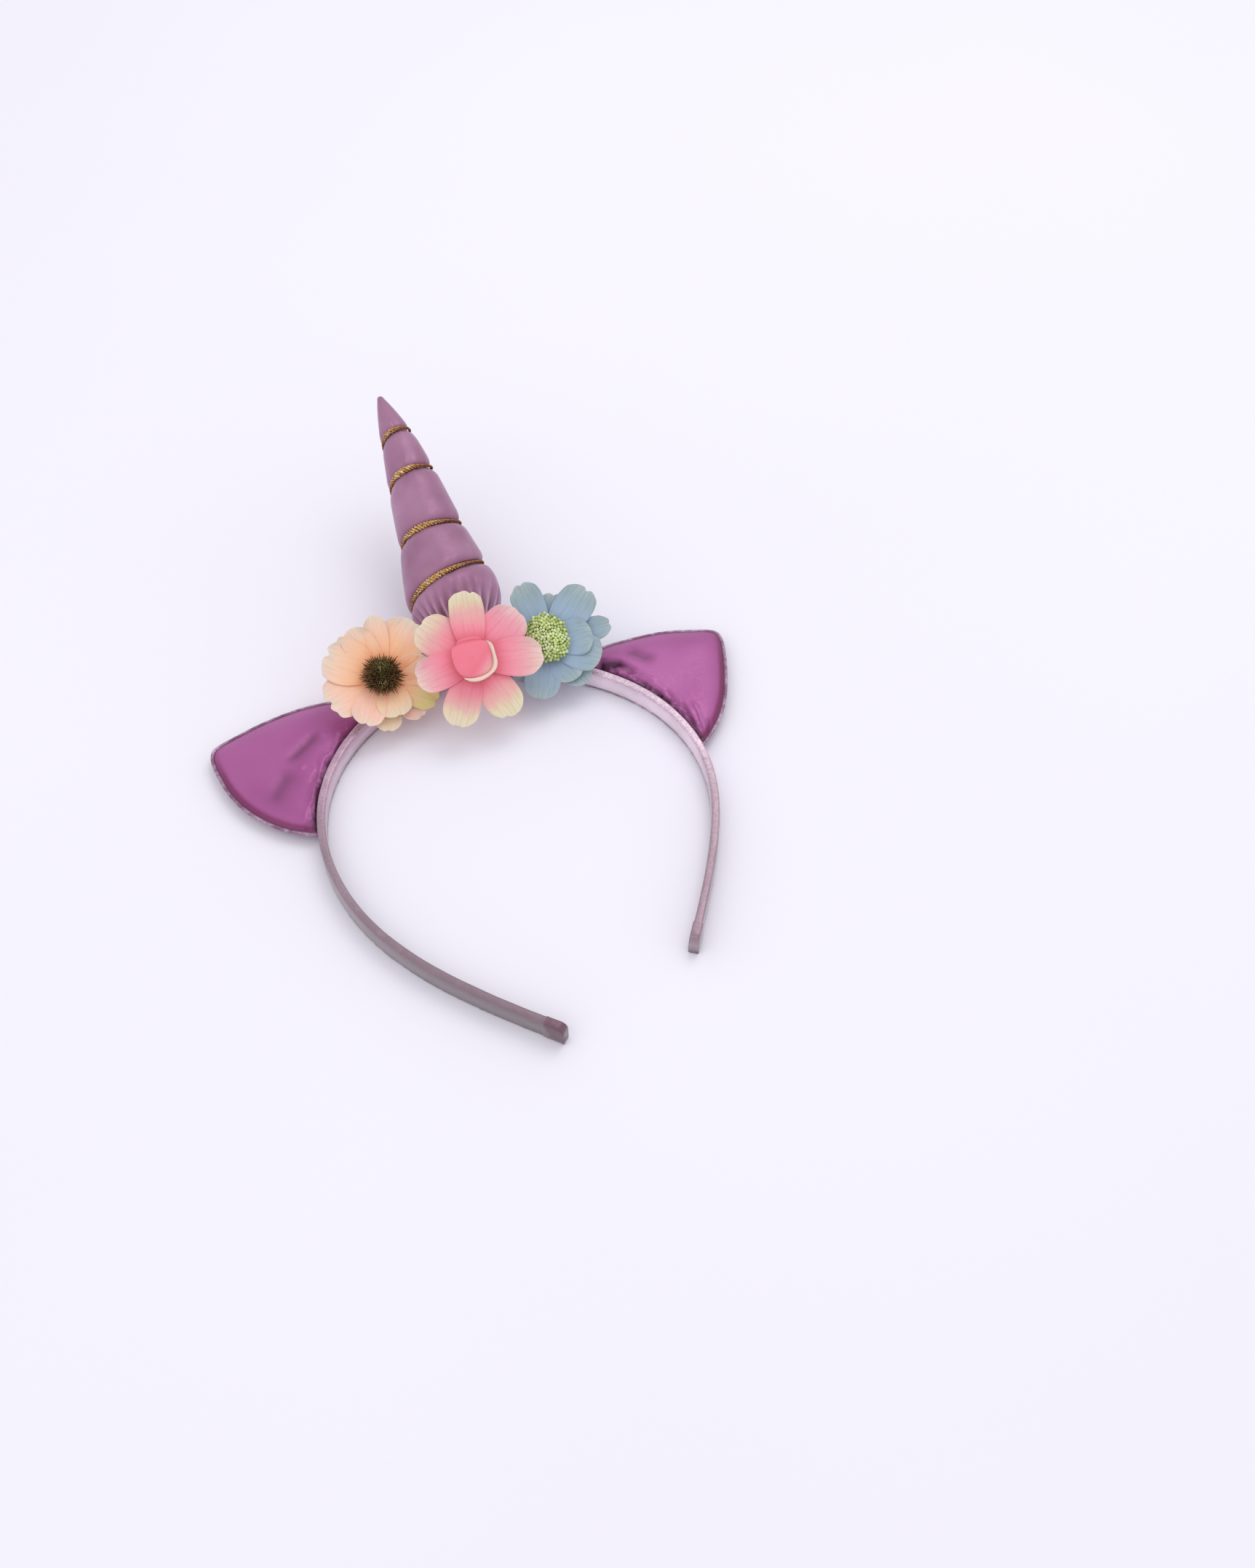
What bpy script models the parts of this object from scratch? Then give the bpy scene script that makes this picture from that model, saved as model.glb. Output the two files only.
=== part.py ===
"""Unicorn horn headband: a ribbon-covered hair band with two padded ears, a stuffed horn
wound with a cord, and three cloth flowers on moulded feet.

Metres, +Z up. The band lies flat on its back edge: X runs across the head, Y from the band's
ends to the horn, Z from the back edge to the front edge that carries the flowers.
"""
import math

import bmesh
import bpy
import numpy as np
from mathutils import Matrix, Vector

# Band
BAND_WIDTH = 0.008            # back edge to front edge
BAND_THICKNESS = 0.0026
BAND_CHAMFER = 0.0005
HALF_SPAN_LEFT = 0.0667       # widest reach of the centre line from the top's middle
HALF_SPAN_RIGHT = 0.0601
LEG_REACH_LEFT = 0.1457       # top of the centre line down to the end of the leg
LEG_REACH_RIGHT = 0.1328
TOP_FACET = 0.008             # flat facet in the middle of the top
BAND_STEP = 0.0068            # length of one facet along the band
END_FOLD = 0.007              # ribbon folded back over each end
END_FOLD_STEP = 0.0003
END_CORNER = 0.0024           # rounding of the front corner at each end

# Ears
EAR_THICKNESS = 0.0068
EAR_RIM = 0.0011              # thickness of the sewn rim
EAR_RIM_WIDTH = 0.0016
EAR_HEIGHT_LEFT = 0.0470
EAR_HEIGHT_RIGHT = 0.0449
EAR_START_LEFT = 0.0365       # along the band, from the top's middle to the ear's upper corner
EAR_START_RIGHT = 0.0425
EAR_BASE_LEFT = 0.0505        # along the band, from the upper corner to the lower one
EAR_BASE_RIGHT = 0.0530
EAR_TIP_LEFT = 0.57           # share of the base from the upper corner to below the tip
EAR_TIP_RIGHT = 0.445

# Horn
HORN_LENGTH = 0.1084
HORN_RADIUS = 0.0172
HORN_LEAN = math.radians(18.8)    # tip leans to the front of the band
HORN_SWAY = math.radians(2.7)     # and a little to the right
HORN_OFFSET = 0.0046              # to the right of the top's middle
HORN_FLOOR_GAP = 0.0001           # under the horn's lowest swelling
PLEAT_DEPTH = 0.0006
PLEATS = 12

# Cord
CORD_RADIUS = 0.0008
CORD_GAP = 0.0004             # play between cord and groove
CORD_TURN_START = math.radians(172.0)  # first crossing: right of the horn, a little to the front
GROOVE_DEPTH = 0.0043
GROOVE_WIDTH = 0.0110
GROOVE_FLAT = 1.25            # over 1, the groove's bottom is flat under the cord

# Flowers
PETAL_THICKNESS = 0.0010
PEACH_RADIUS = 0.0205
PINK_RADIUS = 0.0242
BLUE_RADIUS = 0.0212
PEACH_RISE = 0.0070           # middle of the petals above the band's front edge
PINK_RISE = 0.0132
BLUE_RISE = 0.0064
BRUSH_RADIUS = 0.0078
BRUSH_HEIGHT = 0.0070
BUD_RADIUS = 0.0073
BUD_HEIGHT = 0.0080
STAMEN_RADIUS = 0.0074
STAMEN_HEIGHT = 0.0062
FOOT_RADIUS = 0.0016          # moulded foot where it meets the band
FOOT_HEAD_RADIUS = 0.0030     # and where it meets the petals
PEACH_CUP = 0.0022            # rise of the petals' tips over the flower's middle
PINK_CUP = 0.0030
BLUE_CUP = 0.0026
LAYER_LIFT = 0.0018           # how much further the front petals rise at their tips
FRONT_SHARE = 0.93            # front petals' radius as a share of the back petals'
TROUGH_SHARE = 0.14           # hollow along each petal as a share of its cup

GAP = 0.0003                  # between neighbouring pieces

# Centre line of the band. across and down are shares of the half span and the leg's reach.
# columns: across left, down left, across right, down right
ARCH = (
    (0.000, 0.000, 0.000, 0.000),
    (0.570, 0.066, 0.541, 0.097),
    (0.945, 0.273, 0.920, 0.298),
    (0.970, 0.542, 0.993, 0.557),
    (0.712, 0.783, 0.757, 0.801),
    (0.304, 1.000, 0.453, 1.000),
)

# Side of an ear, from its corner to its tip.
# columns: share of the height, share of the way from below the tip out to the corner
EAR_SIDE = (
    (0.08, 1.03),
    (0.20, 1.03),
    (0.35, 0.95),
    (0.50, 0.83),
    (0.65, 0.67),
    (0.79, 0.47),
    (0.90, 0.29),
    (0.965, 0.15),
)

# Padding of an ear from its rim inwards.
# columns: share of the way in from the rim, share of the full thickness
EAR_PADDING = (
    (0.10, 0.52),
    (0.24, 0.84),
    (0.50, 1.00),
    (0.78, 0.95),
)

# Swelling of the horn without its groove. columns: share of the length, share of the radius
HORN_PROFILE = (
    (0.000, 0.40),
    (0.030, 0.44),
    (0.070, 0.51),
    (0.110, 0.66),
    (0.150, 0.86),
    (0.195, 0.98),
    (0.240, 1.00),
    (0.340, 0.88),
    (0.420, 0.77),
    (0.520, 0.69),
    (0.600, 0.62),
    (0.690, 0.53),
    (0.770, 0.44),
    (0.860, 0.34),
    (0.920, 0.24),
    (0.965, 0.145),
    (1.000, 0.055),
)

# Height at which the cord crosses the horn's right side and then its left side, turn by turn,
# from the tip down. columns: half turns from the first crossing, share of the horn's length
CORD_TURNS = (
    (-0.6, 0.885),
    (0.0, 0.850),
    (1.0, 0.815),
    (2.0, 0.694),
    (3.0, 0.646),
    (4.0, 0.470),
    (5.0, 0.440),
    (6.0, 0.310),
    (7.0, 0.221),
    (7.7, 0.150),
)

# columns: name, place along the band from its middle as a share of the half span,
# height over the band's line as a share of the flower's radius, lean down, lean right (degrees)
FLOWERS = {
    "peach": (-0.425, 0.27, 24.0, 4.0),
    "pink": (0.026, -0.40, 27.0, -3.0),
    "blue": (0.520, 0.14, 22.0, -8.0),
}


def natural_spline(values, at):
    """Smooth curve through values at 0, 1, 2 ..., read at the given places."""
    values = np.asarray(values, float)
    count = len(values)
    system = np.eye(count)
    target = np.zeros(count)
    for row in range(1, count - 1):
        system[row, row - 1:row + 2] = (1.0, 4.0, 1.0)
        target[row] = 6.0 * (values[row - 1] - 2.0 * values[row] + values[row + 1])
    bend = np.linalg.solve(system, target)
    at = np.asarray(at, float)
    low = np.clip(at.astype(int), 0, count - 2)
    after = at - low
    before = 1.0 - after
    return (before * values[low] + after * values[low + 1]
            + ((before ** 3 - before) * bend[low] + (after ** 3 - after) * bend[low + 1]) / 6.0)


class CentreLine:
    """The band's centre line, read by its length from the middle of the top."""

    samples = 1200

    def __init__(self):
        left = [(-HALF_SPAN_LEFT * row[0], -LEG_REACH_LEFT * row[1]) for row in reversed(ARCH)]
        right = [(HALF_SPAN_RIGHT * row[2], -LEG_REACH_RIGHT * row[3]) for row in ARCH[1:]]
        knots = np.array(left + right)
        places = np.linspace(0.0, len(knots) - 1.0, self.samples)
        self.x = natural_spline(knots[:, 0], places)
        self.y = natural_spline(knots[:, 1], places)
        steps = np.hypot(np.diff(self.x), np.diff(self.y))
        length = np.concatenate([[0.0], np.cumsum(steps)])
        middle = np.interp((len(knots) - 1.0) / 2.0, places, length)
        self.length = length - middle
        self.start = self.length[0]
        self.end = self.length[-1]
        along_x = np.gradient(self.x, self.length)
        along_y = np.gradient(self.y, self.length)
        size = np.hypot(along_x, along_y)
        self.out_x = -along_y / size
        self.out_y = along_x / size

    def outward(self, place):
        return Vector((np.interp(place, self.length, self.out_x),
                       np.interp(place, self.length, self.out_y), 0.0)).normalized()

    def point(self, place, outwards=0.0, height=0.0):
        middle = Vector((np.interp(place, self.length, self.x),
                         np.interp(place, self.length, self.y), height))
        return middle + self.outward(place) * outwards


LINE = CentreLine()


def material(name, colour, roughness, metallic=0.0):
    made = bpy.data.materials.new(name)
    made.use_nodes = True
    shader = made.node_tree.nodes["Principled BSDF"]
    shader.inputs["Base Color"].default_value = (*colour, 1.0)
    shader.inputs["Roughness"].default_value = roughness
    shader.inputs["Metallic"].default_value = metallic
    made.diffuse_color = (*colour, 1.0)
    return made


def add_object(name, vertices, faces, finish, parent, sharp=math.radians(40.0)):
    mesh = bpy.data.meshes.new(name)
    mesh.from_pydata([tuple(v) for v in vertices], [], faces)
    body = bmesh.new()
    body.from_mesh(mesh)
    bmesh.ops.recalc_face_normals(body, faces=body.faces)
    body.to_mesh(mesh)
    body.free()
    mesh.shade_smooth()
    mesh.set_sharp_from_angle(angle=sharp)
    mesh.materials.append(finish)
    made = bpy.data.objects.new(name, mesh)
    made.parent = parent
    bpy.context.scene.collection.objects.link(made)
    return made


def loft(rings):
    """Vertices and faces of a closed body through equal rings, with a flat face at each end."""
    sides = len(rings[0])
    vertices = [point for ring in rings for point in ring]
    faces = [tuple(range(sides))]
    for ring in range(len(rings) - 1):
        for side in range(sides):
            first = ring * sides + side
            second = ring * sides + (side + 1) % sides
            faces.append((first, second, second + sides, first + sides))
    faces.append(tuple(range((len(rings) - 1) * sides, len(rings) * sides)))
    return vertices, faces


def two_sided(front, back, front_middle, back_middle):
    """Closed body of a front and a back skin, each given as rings from the rim inwards."""
    sides = len(front[0])
    rings = list(reversed(back)) + list(front)
    vertices = [point for ring in rings for point in ring]
    faces = []
    for ring in range(len(rings) - 1):
        for side in range(sides):
            first = ring * sides + side
            second = ring * sides + (side + 1) % sides
            faces.append((first, second, second + sides, first + sides))
    last = (len(rings) - 1) * sides
    vertices += [back_middle, front_middle]
    for side in range(sides):
        after = (side + 1) % sides
        faces.append((side, after, len(vertices) - 2))
        faces.append((last + side, last + after, len(vertices) - 1))
    return vertices, faces


# Band

def band_places():
    """Lengths along the band at which it has a section, closer together at the folded ends."""
    left = np.linspace(LINE.start + END_FOLD, -TOP_FACET / 2.0,
                       round(-LINE.start / BAND_STEP))
    right = np.linspace(TOP_FACET / 2.0, LINE.end - END_FOLD, round(LINE.end / BAND_STEP))
    corner = [share * END_CORNER for share in (0.0, 0.12, 0.45, 1.0)]
    fold = corner + [END_FOLD - END_FOLD_STEP]
    return ([LINE.start + step for step in fold] + list(left) + list(right)
            + [LINE.end - step for step in reversed(fold)])


def band_section(place):
    from_end = min(place - LINE.start, LINE.end - place)
    folded = from_end < END_FOLD - END_FOLD_STEP / 2.0
    half = BAND_THICKNESS / 2.0 + (END_FOLD_STEP if folded else 0.0)
    reach = max(END_CORNER - from_end, 0.0)
    drop = END_CORNER - math.sqrt(END_CORNER ** 2 - reach ** 2)
    top = BAND_WIDTH - drop
    outline = (
        (-half, BAND_CHAMFER), (-half + BAND_CHAMFER, 0.0),
        (half - BAND_CHAMFER, 0.0), (half, BAND_CHAMFER),
        (half, top - BAND_CHAMFER), (half - BAND_CHAMFER, top),
        (-half + BAND_CHAMFER, top), (-half, top - BAND_CHAMFER),
    )
    return [LINE.point(place, outwards, height) for outwards, height in outline]


def build_band(parent):
    vertices, faces = loft([band_section(place) for place in band_places()])
    finish = material("band_ribbon", (0.42, 0.31, 0.38), 0.32, 0.6)
    return add_object("band", vertices, faces, finish, parent, math.radians(25.0))


# Ears

def ear_outline(start, base, height, tip_share, side_sign, into_local):
    """Rim of an ear: its foot along the band, then one side up to the tip and the other down."""
    foot_steps = 9
    seat = BAND_THICKNESS / 2.0 + GAP
    places = [start + base * step / foot_steps for step in range(foot_steps + 1)]
    foot = [into_local @ LINE.point(side_sign * place, seat) for place in places]
    tip = foot[0].lerp(foot[-1], tip_share)
    outline = list(foot)
    for share, out in EAR_SIDE:
        outline.append(Vector((tip.x + (foot[-1].x - tip.x) * out, height * share, 0.0)))
    outline.append(Vector((tip.x, height, 0.0)))
    for share, out in reversed(EAR_SIDE):
        outline.append(Vector((tip.x + (foot[0].x - tip.x) * out, height * share, 0.0)))
    return outline, foot_steps + 1


def dent_depth(point, dent):
    """Soft trough along a line. dent: from x, from y, to x, to y, depth, half width."""
    from_x, from_y, to_x, to_y, depth, width = dent
    along = Vector((to_x - from_x, to_y - from_y))
    offset = Vector((point.x - from_x, point.y - from_y))
    share = max(0.0, min(1.0, offset.dot(along) / along.length_squared))
    distance = (offset - along * share).length
    return depth * math.exp(-(distance / width) ** 2)


def build_ear(name, start, base, height, tip_share, side_sign, dent_shares, finish, parent):
    """Padded ear with a thin sewn rim, standing on the band's outer face."""
    seat = BAND_THICKNESS / 2.0 + GAP
    corner = LINE.point(side_sign * start, seat)
    far = LINE.point(side_sign * (start + base), seat)
    along = (far - corner).normalized()
    up = Vector((-along.y, along.x, 0.0)) * side_sign
    frame = Matrix(((along.x, up.x, 0.0, corner.x), (along.y, up.y, 0.0, corner.y),
                    (0.0, 0.0, side_sign, BAND_WIDTH / 2.0), (0.0, 0.0, 0.0, 1.0)))
    into_local = Matrix(((along.x, along.y, 0.0), (up.x, up.y, 0.0), (0.0, 0.0, side_sign)))
    into_local = into_local.to_4x4() @ Matrix.Translation(-corner)
    outline, foot_count = ear_outline(start, base, height, tip_share, side_sign, into_local)
    outline = [Vector((point.x, point.y, 0.0)) for point in outline]
    length = (far - corner).length
    middle = Vector((length * (0.5 + tip_share) / 2.0, height * 0.42, 0.0))
    from_x, from_y, to_x, to_y, depth, width = dent_shares
    dent = (from_x * length, from_y * height, to_x * length, to_y * height,
            depth * EAR_THICKNESS, width * length)

    def skin(share_in, thickness_share, sign):
        ring = []
        for number, point in enumerate(outline):
            inward = (middle - point).normalized() * EAR_RIM_WIDTH
            base_point = point if share_in is None else point + inward
            share = 0.0 if share_in is None else share_in
            place = base_point.lerp(middle, share)
            half = EAR_RIM / 2.0 + (EAR_THICKNESS - EAR_RIM) / 2.0 * thickness_share
            if number < foot_count and share < 0.2:
                half = max(half, EAR_THICKNESS * 0.3)
            if sign == side_sign:
                half = max(half - dent_depth(place, dent) * min(1.0, thickness_share * 2.0),
                           EAR_RIM / 2.0)
            ring.append(Vector((place.x, place.y, sign * half)))
        return ring

    steps = [(None, 0.0), (0.0, 0.0)] + list(EAR_PADDING)
    front = [skin(share, thickness, 1.0) for share, thickness in steps]
    back = [skin(share, thickness, -1.0) for share, thickness in steps]
    centre_half = EAR_THICKNESS / 2.0 * EAR_PADDING[-1][1]
    vertices, faces = two_sided(front, back, middle + Vector((0, 0, centre_half)),
                                middle - Vector((0, 0, centre_half)))
    made = add_object(name, vertices, faces, finish, parent)
    made.matrix_local = frame
    return made


def build_ears(parent):
    finish = material("ear_leatherette", (0.42, 0.10, 0.30), 0.3, 0.7)
    # dents: from along, from up, to along, to up, depth share, width share
    build_ear("ear_left", EAR_START_LEFT, EAR_BASE_LEFT, EAR_HEIGHT_LEFT, EAR_TIP_LEFT, -1.0,
              (0.62, 0.22, 0.30, 0.52, 0.12, 0.10), finish, parent)
    build_ear("ear_right", EAR_START_RIGHT, EAR_BASE_RIGHT, EAR_HEIGHT_RIGHT, EAR_TIP_RIGHT, 1.0,
              (0.15, 0.22, 0.55, 0.34, 0.12, 0.10), finish, parent)


# Horn and its cord

def horn_frame():
    """Foot of the horn over the band's front outer corner, with local +Z along the horn."""
    corner = LINE.point(HORN_OFFSET, BAND_THICKNESS / 2.0, BAND_WIDTH)
    axis = Vector((math.sin(HORN_SWAY), math.cos(HORN_SWAY) * math.cos(HORN_LEAN),
                   math.cos(HORN_SWAY) * math.sin(HORN_LEAN)))
    left = Vector((-1.0, 0.0, 0.0))
    left = (left - axis * left.dot(axis)).normalized()
    front = axis.cross(left)
    turn = Matrix((left, front, axis)).transposed()
    lowest = min((turn @ point).z for ring in horn_rings() for point in ring)
    slide = (HORN_FLOOR_GAP - lowest - corner.z - axis.z * GAP) / front.z
    frame = turn.to_4x4()
    frame.translation = corner + axis * GAP + front * slide
    return frame


def cord_share(half_turns):
    """Share of the horn's length at which the cord crosses after so many half turns."""
    turns = np.array([row[0] for row in CORD_TURNS])
    shares = np.array([row[1] for row in CORD_TURNS])
    knots = np.interp(half_turns, turns, np.arange(len(turns)))
    return natural_spline(shares, knots)


def horn_swell(share):
    shares = [row[0] for row in HORN_PROFILE]
    radii = [row[1] for row in HORN_PROFILE]
    return HORN_RADIUS * float(np.interp(share, shares, radii))


def horn_radius(share, angle):
    """Distance from the horn's axis to its skin, pinched along the cord."""
    radius = horn_swell(share)
    first = (CORD_TURN_START - angle) / math.pi
    crossings = [first + 2.0 * turn for turn in range(-1, 6)]
    low, high = CORD_TURNS[0][0], CORD_TURNS[-1][0]
    crossings = [half for half in crossings if low - 0.3 <= half <= high + 0.3]
    pinch = 0.0
    for half in crossings:
        reach = (share - float(cord_share(half))) * HORN_LENGTH / (GROOVE_WIDTH / 2.0)
        if abs(reach) < 1.0:
            pinch = max(pinch, min(1.0, GROOVE_FLAT * (0.5 + 0.5 * math.cos(math.pi * reach))))
    depth = GROOVE_DEPTH * min(1.0, 0.35 + 0.65 * radius / HORN_RADIUS)
    gather = max(0.0, 1.0 - share / 0.17)
    pleat = PLEAT_DEPTH * gather * math.cos(PLEATS * angle)
    return max(radius - depth * pinch + pleat, radius * 0.3)


def horn_rings():
    sides = 2 * PLEATS
    levels = 58
    rings = []
    for level in range(levels + 1):
        share = level / levels
        ring = []
        for side in range(sides):
            angle = 2.0 * math.pi * side / sides
            radius = horn_radius(share, angle)
            ring.append(Vector((radius * math.cos(angle), radius * math.sin(angle),
                                share * HORN_LENGTH)))
        rings.append(ring)
    return rings


def build_horn(frame, parent):
    vertices, faces = loft(horn_rings())
    finish = material("horn_satin", (0.40, 0.21, 0.34), 0.35, 0.35)
    made = add_object("horn", vertices, faces, finish, parent, math.radians(60.0))
    made.matrix_local = frame
    return made


def build_cord(frame, parent):
    """Cord laid in the horn's groove, as a tube with flat ends."""
    per_half_turn = 9
    first, last = CORD_TURNS[0][0], CORD_TURNS[-1][0]
    count = round((last - first) * per_half_turn)
    route = []
    for step in range(count + 1):
        half = first + (last - first) * step / count
        share = float(cord_share(half))
        angle = CORD_TURN_START - half * math.pi
        lift = horn_radius(share, angle) + CORD_GAP + CORD_RADIUS
        route.append(Vector((lift * math.cos(angle), lift * math.sin(angle),
                             share * HORN_LENGTH)))
    curve = bpy.data.curves.new("horn_cord", "CURVE")
    curve.dimensions = "3D"
    spline = curve.splines.new("POLY")
    spline.points.add(len(route) - 1)
    for point, place in zip(spline.points, route):
        point.co = (*place, 1.0)
    curve.bevel_depth = CORD_RADIUS
    curve.bevel_resolution = 1
    curve.use_fill_caps = True
    curve.materials.append(material("gold_cord", (0.55, 0.30, 0.10), 0.3, 0.8))
    made = bpy.data.objects.new("horn_cord", curve)
    made.parent = parent
    made.matrix_local = frame
    bpy.context.scene.collection.objects.link(made)
    return made


# Flowers

def flower_frame(colour, radius, rise):
    """Middle of a flower's petals, with local +Z the way the flower faces."""
    place_share, over, lean_down, lean_right = FLOWERS[colour]
    half_span = HALF_SPAN_LEFT if place_share < 0.0 else HALF_SPAN_RIGHT
    middle = LINE.point(place_share * half_span, 0.0, BAND_WIDTH + rise)
    middle.y += over * radius
    turn = (Matrix.Rotation(math.radians(lean_right), 4, "Y")
            @ Matrix.Rotation(math.radians(lean_down), 4, "X"))
    return Matrix.Translation(middle) @ turn


def petal_layer(petals, radius, turn, cup, cleft, notch, steps=8, rings=3):
    """One layer of joined petals: a cupped disc whose rim is drawn in between the petals."""
    count = petals * steps
    shares = [(ring / rings) for ring in range(rings, 0, -1)]

    def rim(angle):
        across = abs(((angle - turn) * petals / (2.0 * math.pi)) % 1.0 - 0.5) * 2.0
        lobe = 1.0 - cleft * across ** 5
        return radius * (lobe - notch * math.exp(-(across / 0.16) ** 2))

    def height(distance, angle):
        reach = (distance / radius) ** 2
        hollow = TROUGH_SHARE * math.cos(petals * (angle - turn - math.pi / petals))
        return reach * cup * (1.0 - hollow)

    def skin(level):
        made = []
        for share in shares:
            ring = []
            for step in range(count):
                angle = 2.0 * math.pi * step / count + turn
                distance = share * rim(angle)
                ring.append(Vector((distance * math.cos(angle), distance * math.sin(angle),
                                    height(distance, angle) + level)))
            made.append(ring)
        return made

    return two_sided(skin(0.0), skin(-PETAL_THICKNESS), Vector((0, 0, 0)),
                     Vector((0, 0, -PETAL_THICKNESS)))


def turned_tuft(profile, radius, height, locks, roughness):
    """Closed tuft: a turned outline whose radius swings in and out around it as locks do."""
    sides = 2 * locks
    rings = []
    for level, width in profile:
        swing = roughness * level
        ring = []
        for side in range(sides):
            angle = math.pi * side / locks
            reach = radius * width * (1.0 + (swing if side % 2 else -swing))
            lift = height * level * (1.0 - (0.0 if side % 2 else swing * 0.6))
            ring.append(Vector((reach * math.cos(angle), reach * math.sin(angle), lift)))
        rings.append(ring)
    return loft(rings)


def build_foot(colour, frame, finish, parent):
    """Moulded foot from the back of the petals down to the band's front edge."""
    place_share = FLOWERS[colour][0]
    half_span = HALF_SPAN_LEFT if place_share < 0.0 else HALF_SPAN_RIGHT
    sides = 10
    bottom = LINE.point(place_share * half_span, -BAND_THICKNESS * 0.2, BAND_WIDTH + GAP)
    head_level = -PETAL_THICKNESS - GAP
    rings = []
    for share in (0.0, 0.35, 1.0):
        ring = []
        for side in range(sides):
            angle = 2.0 * math.pi * side / sides
            way = Vector((math.cos(angle), math.sin(angle), 0.0))
            low = bottom + way * FOOT_RADIUS
            high = frame @ (way * FOOT_HEAD_RADIUS + Vector((0.0, 0.0, head_level)))
            ring.append(low.lerp(high, share))
        rings.append(ring)
    vertices, faces = loft(rings)
    return add_object(colour + "_foot", vertices, faces, finish, parent)


def build_peach(foot_finish, parent):
    frame = flower_frame("peach", PEACH_RADIUS, PEACH_RISE)
    finish = material("peach_cloth", (0.88, 0.55, 0.38), 0.75)
    lift = PETAL_THICKNESS + GAP
    back = petal_layer(6, PEACH_RADIUS, 0.2, PEACH_CUP, 0.42, 0.07)
    add_object("peach_back_petals", *back, finish, parent).matrix_local = frame
    front = petal_layer(6, PEACH_RADIUS * FRONT_SHARE, 0.2 + math.pi / 6.0,
                        PEACH_CUP + LAYER_LIFT, 0.42, 0.07)
    placed = frame @ Matrix.Translation((0.0, 0.0, lift))
    add_object("peach_front_petals", *front, finish, parent).matrix_local = placed
    profile = ((0.0, 0.42), (0.25, 0.68), (0.70, 1.0), (0.92, 0.86), (1.0, 0.45))
    brush = turned_tuft(profile, BRUSH_RADIUS, BRUSH_HEIGHT, 13, 0.09)
    brush_finish = material("brush_fibre", (0.10, 0.08, 0.03), 0.8)
    placed = frame @ Matrix.Translation((0.0, 0.0, lift + 2.0 * GAP))
    add_object("peach_brush", *brush, brush_finish, parent).matrix_local = placed
    build_foot("peach", frame, foot_finish, parent)


def build_pink(foot_finish, parent):
    frame = flower_frame("pink", PINK_RADIUS, PINK_RISE)
    finish = material("pink_cloth", (0.86, 0.30, 0.38), 0.75)
    petals = petal_layer(7, PINK_RADIUS, -0.04, PINK_CUP, 0.55, 0.05)
    add_object("pink_petals", *petals, finish, parent).matrix_local = frame
    profile = ((0.0, 0.50), (0.30, 0.86), (0.70, 1.0), (1.0, 0.93), (0.84, 0.70), (0.72, 0.30))
    bud = turned_tuft(profile, BUD_RADIUS, BUD_HEIGHT, 6, 0.03)
    placed = frame @ Matrix.Translation((0.0, 0.0, 2.0 * GAP))
    add_object("pink_bud", *bud, finish, parent).matrix_local = placed
    build_foot("pink", frame, foot_finish, parent)


def build_blue(foot_finish, parent):
    frame = flower_frame("blue", BLUE_RADIUS, BLUE_RISE)
    finish = material("blue_cloth", (0.32, 0.42, 0.52), 0.75)
    lift = PETAL_THICKNESS + GAP
    back = petal_layer(5, BLUE_RADIUS, 0.35, BLUE_CUP, 0.45, 0.05)
    add_object("blue_back_petals", *back, finish, parent).matrix_local = frame
    front = petal_layer(5, BLUE_RADIUS * FRONT_SHARE, 0.35 + math.pi / 5.0,
                        BLUE_CUP + LAYER_LIFT, 0.45, 0.05)
    placed = frame @ Matrix.Translation((0.0, 0.0, lift))
    add_object("blue_front_petals", *front, finish, parent).matrix_local = placed
    profile = ((0.0, 0.45), (0.35, 0.82), (0.75, 1.0), (0.94, 0.80), (1.0, 0.40))
    stamens = turned_tuft(profile, STAMEN_RADIUS, STAMEN_HEIGHT, 11, 0.05)
    stamen_finish = material("stamen_pips", (0.58, 0.68, 0.24), 0.5)
    placed = frame @ Matrix.Translation((0.0, 0.0, lift + 2.0 * GAP))
    add_object("blue_stamens", *stamens, stamen_finish, parent).matrix_local = placed
    build_foot("blue", frame, foot_finish, parent)


def centre_on_origin(root):
    """Move the whole headband so that its box stands centred over the origin."""
    bpy.context.view_layer.update()
    graph = bpy.context.evaluated_depsgraph_get()
    corners = []
    for piece in root.children:
        shape = piece.evaluated_get(graph).to_mesh()
        corners += [piece.matrix_world @ vertex.co for vertex in shape.vertices]
    low = [min(corner[axis] for corner in corners) for axis in range(3)]
    high = [max(corner[axis] for corner in corners) for axis in range(3)]
    root.location = (-(low[0] + high[0]) / 2.0, -(low[1] + high[1]) / 2.0, -low[2])


def main():
    for existing in list(bpy.data.objects):
        bpy.data.objects.remove(existing)
    root = bpy.data.objects.new("headband_frame", None)
    bpy.context.scene.collection.objects.link(root)
    build_band(root)
    build_ears(root)
    horn_place = horn_frame()
    build_horn(horn_place, root)
    build_cord(horn_place, root)
    foot_finish = material("moulded_foot", (0.75, 0.78, 0.70), 0.5)
    build_peach(foot_finish, root)
    build_pink(foot_finish, root)
    build_blue(foot_finish, root)
    centre_on_origin(root)


main()
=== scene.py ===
"""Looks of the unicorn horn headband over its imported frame. Metres, +Z up."""
import math
import random

import bpy
import numpy as np
from mathutils import Matrix, Vector, noise


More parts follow.
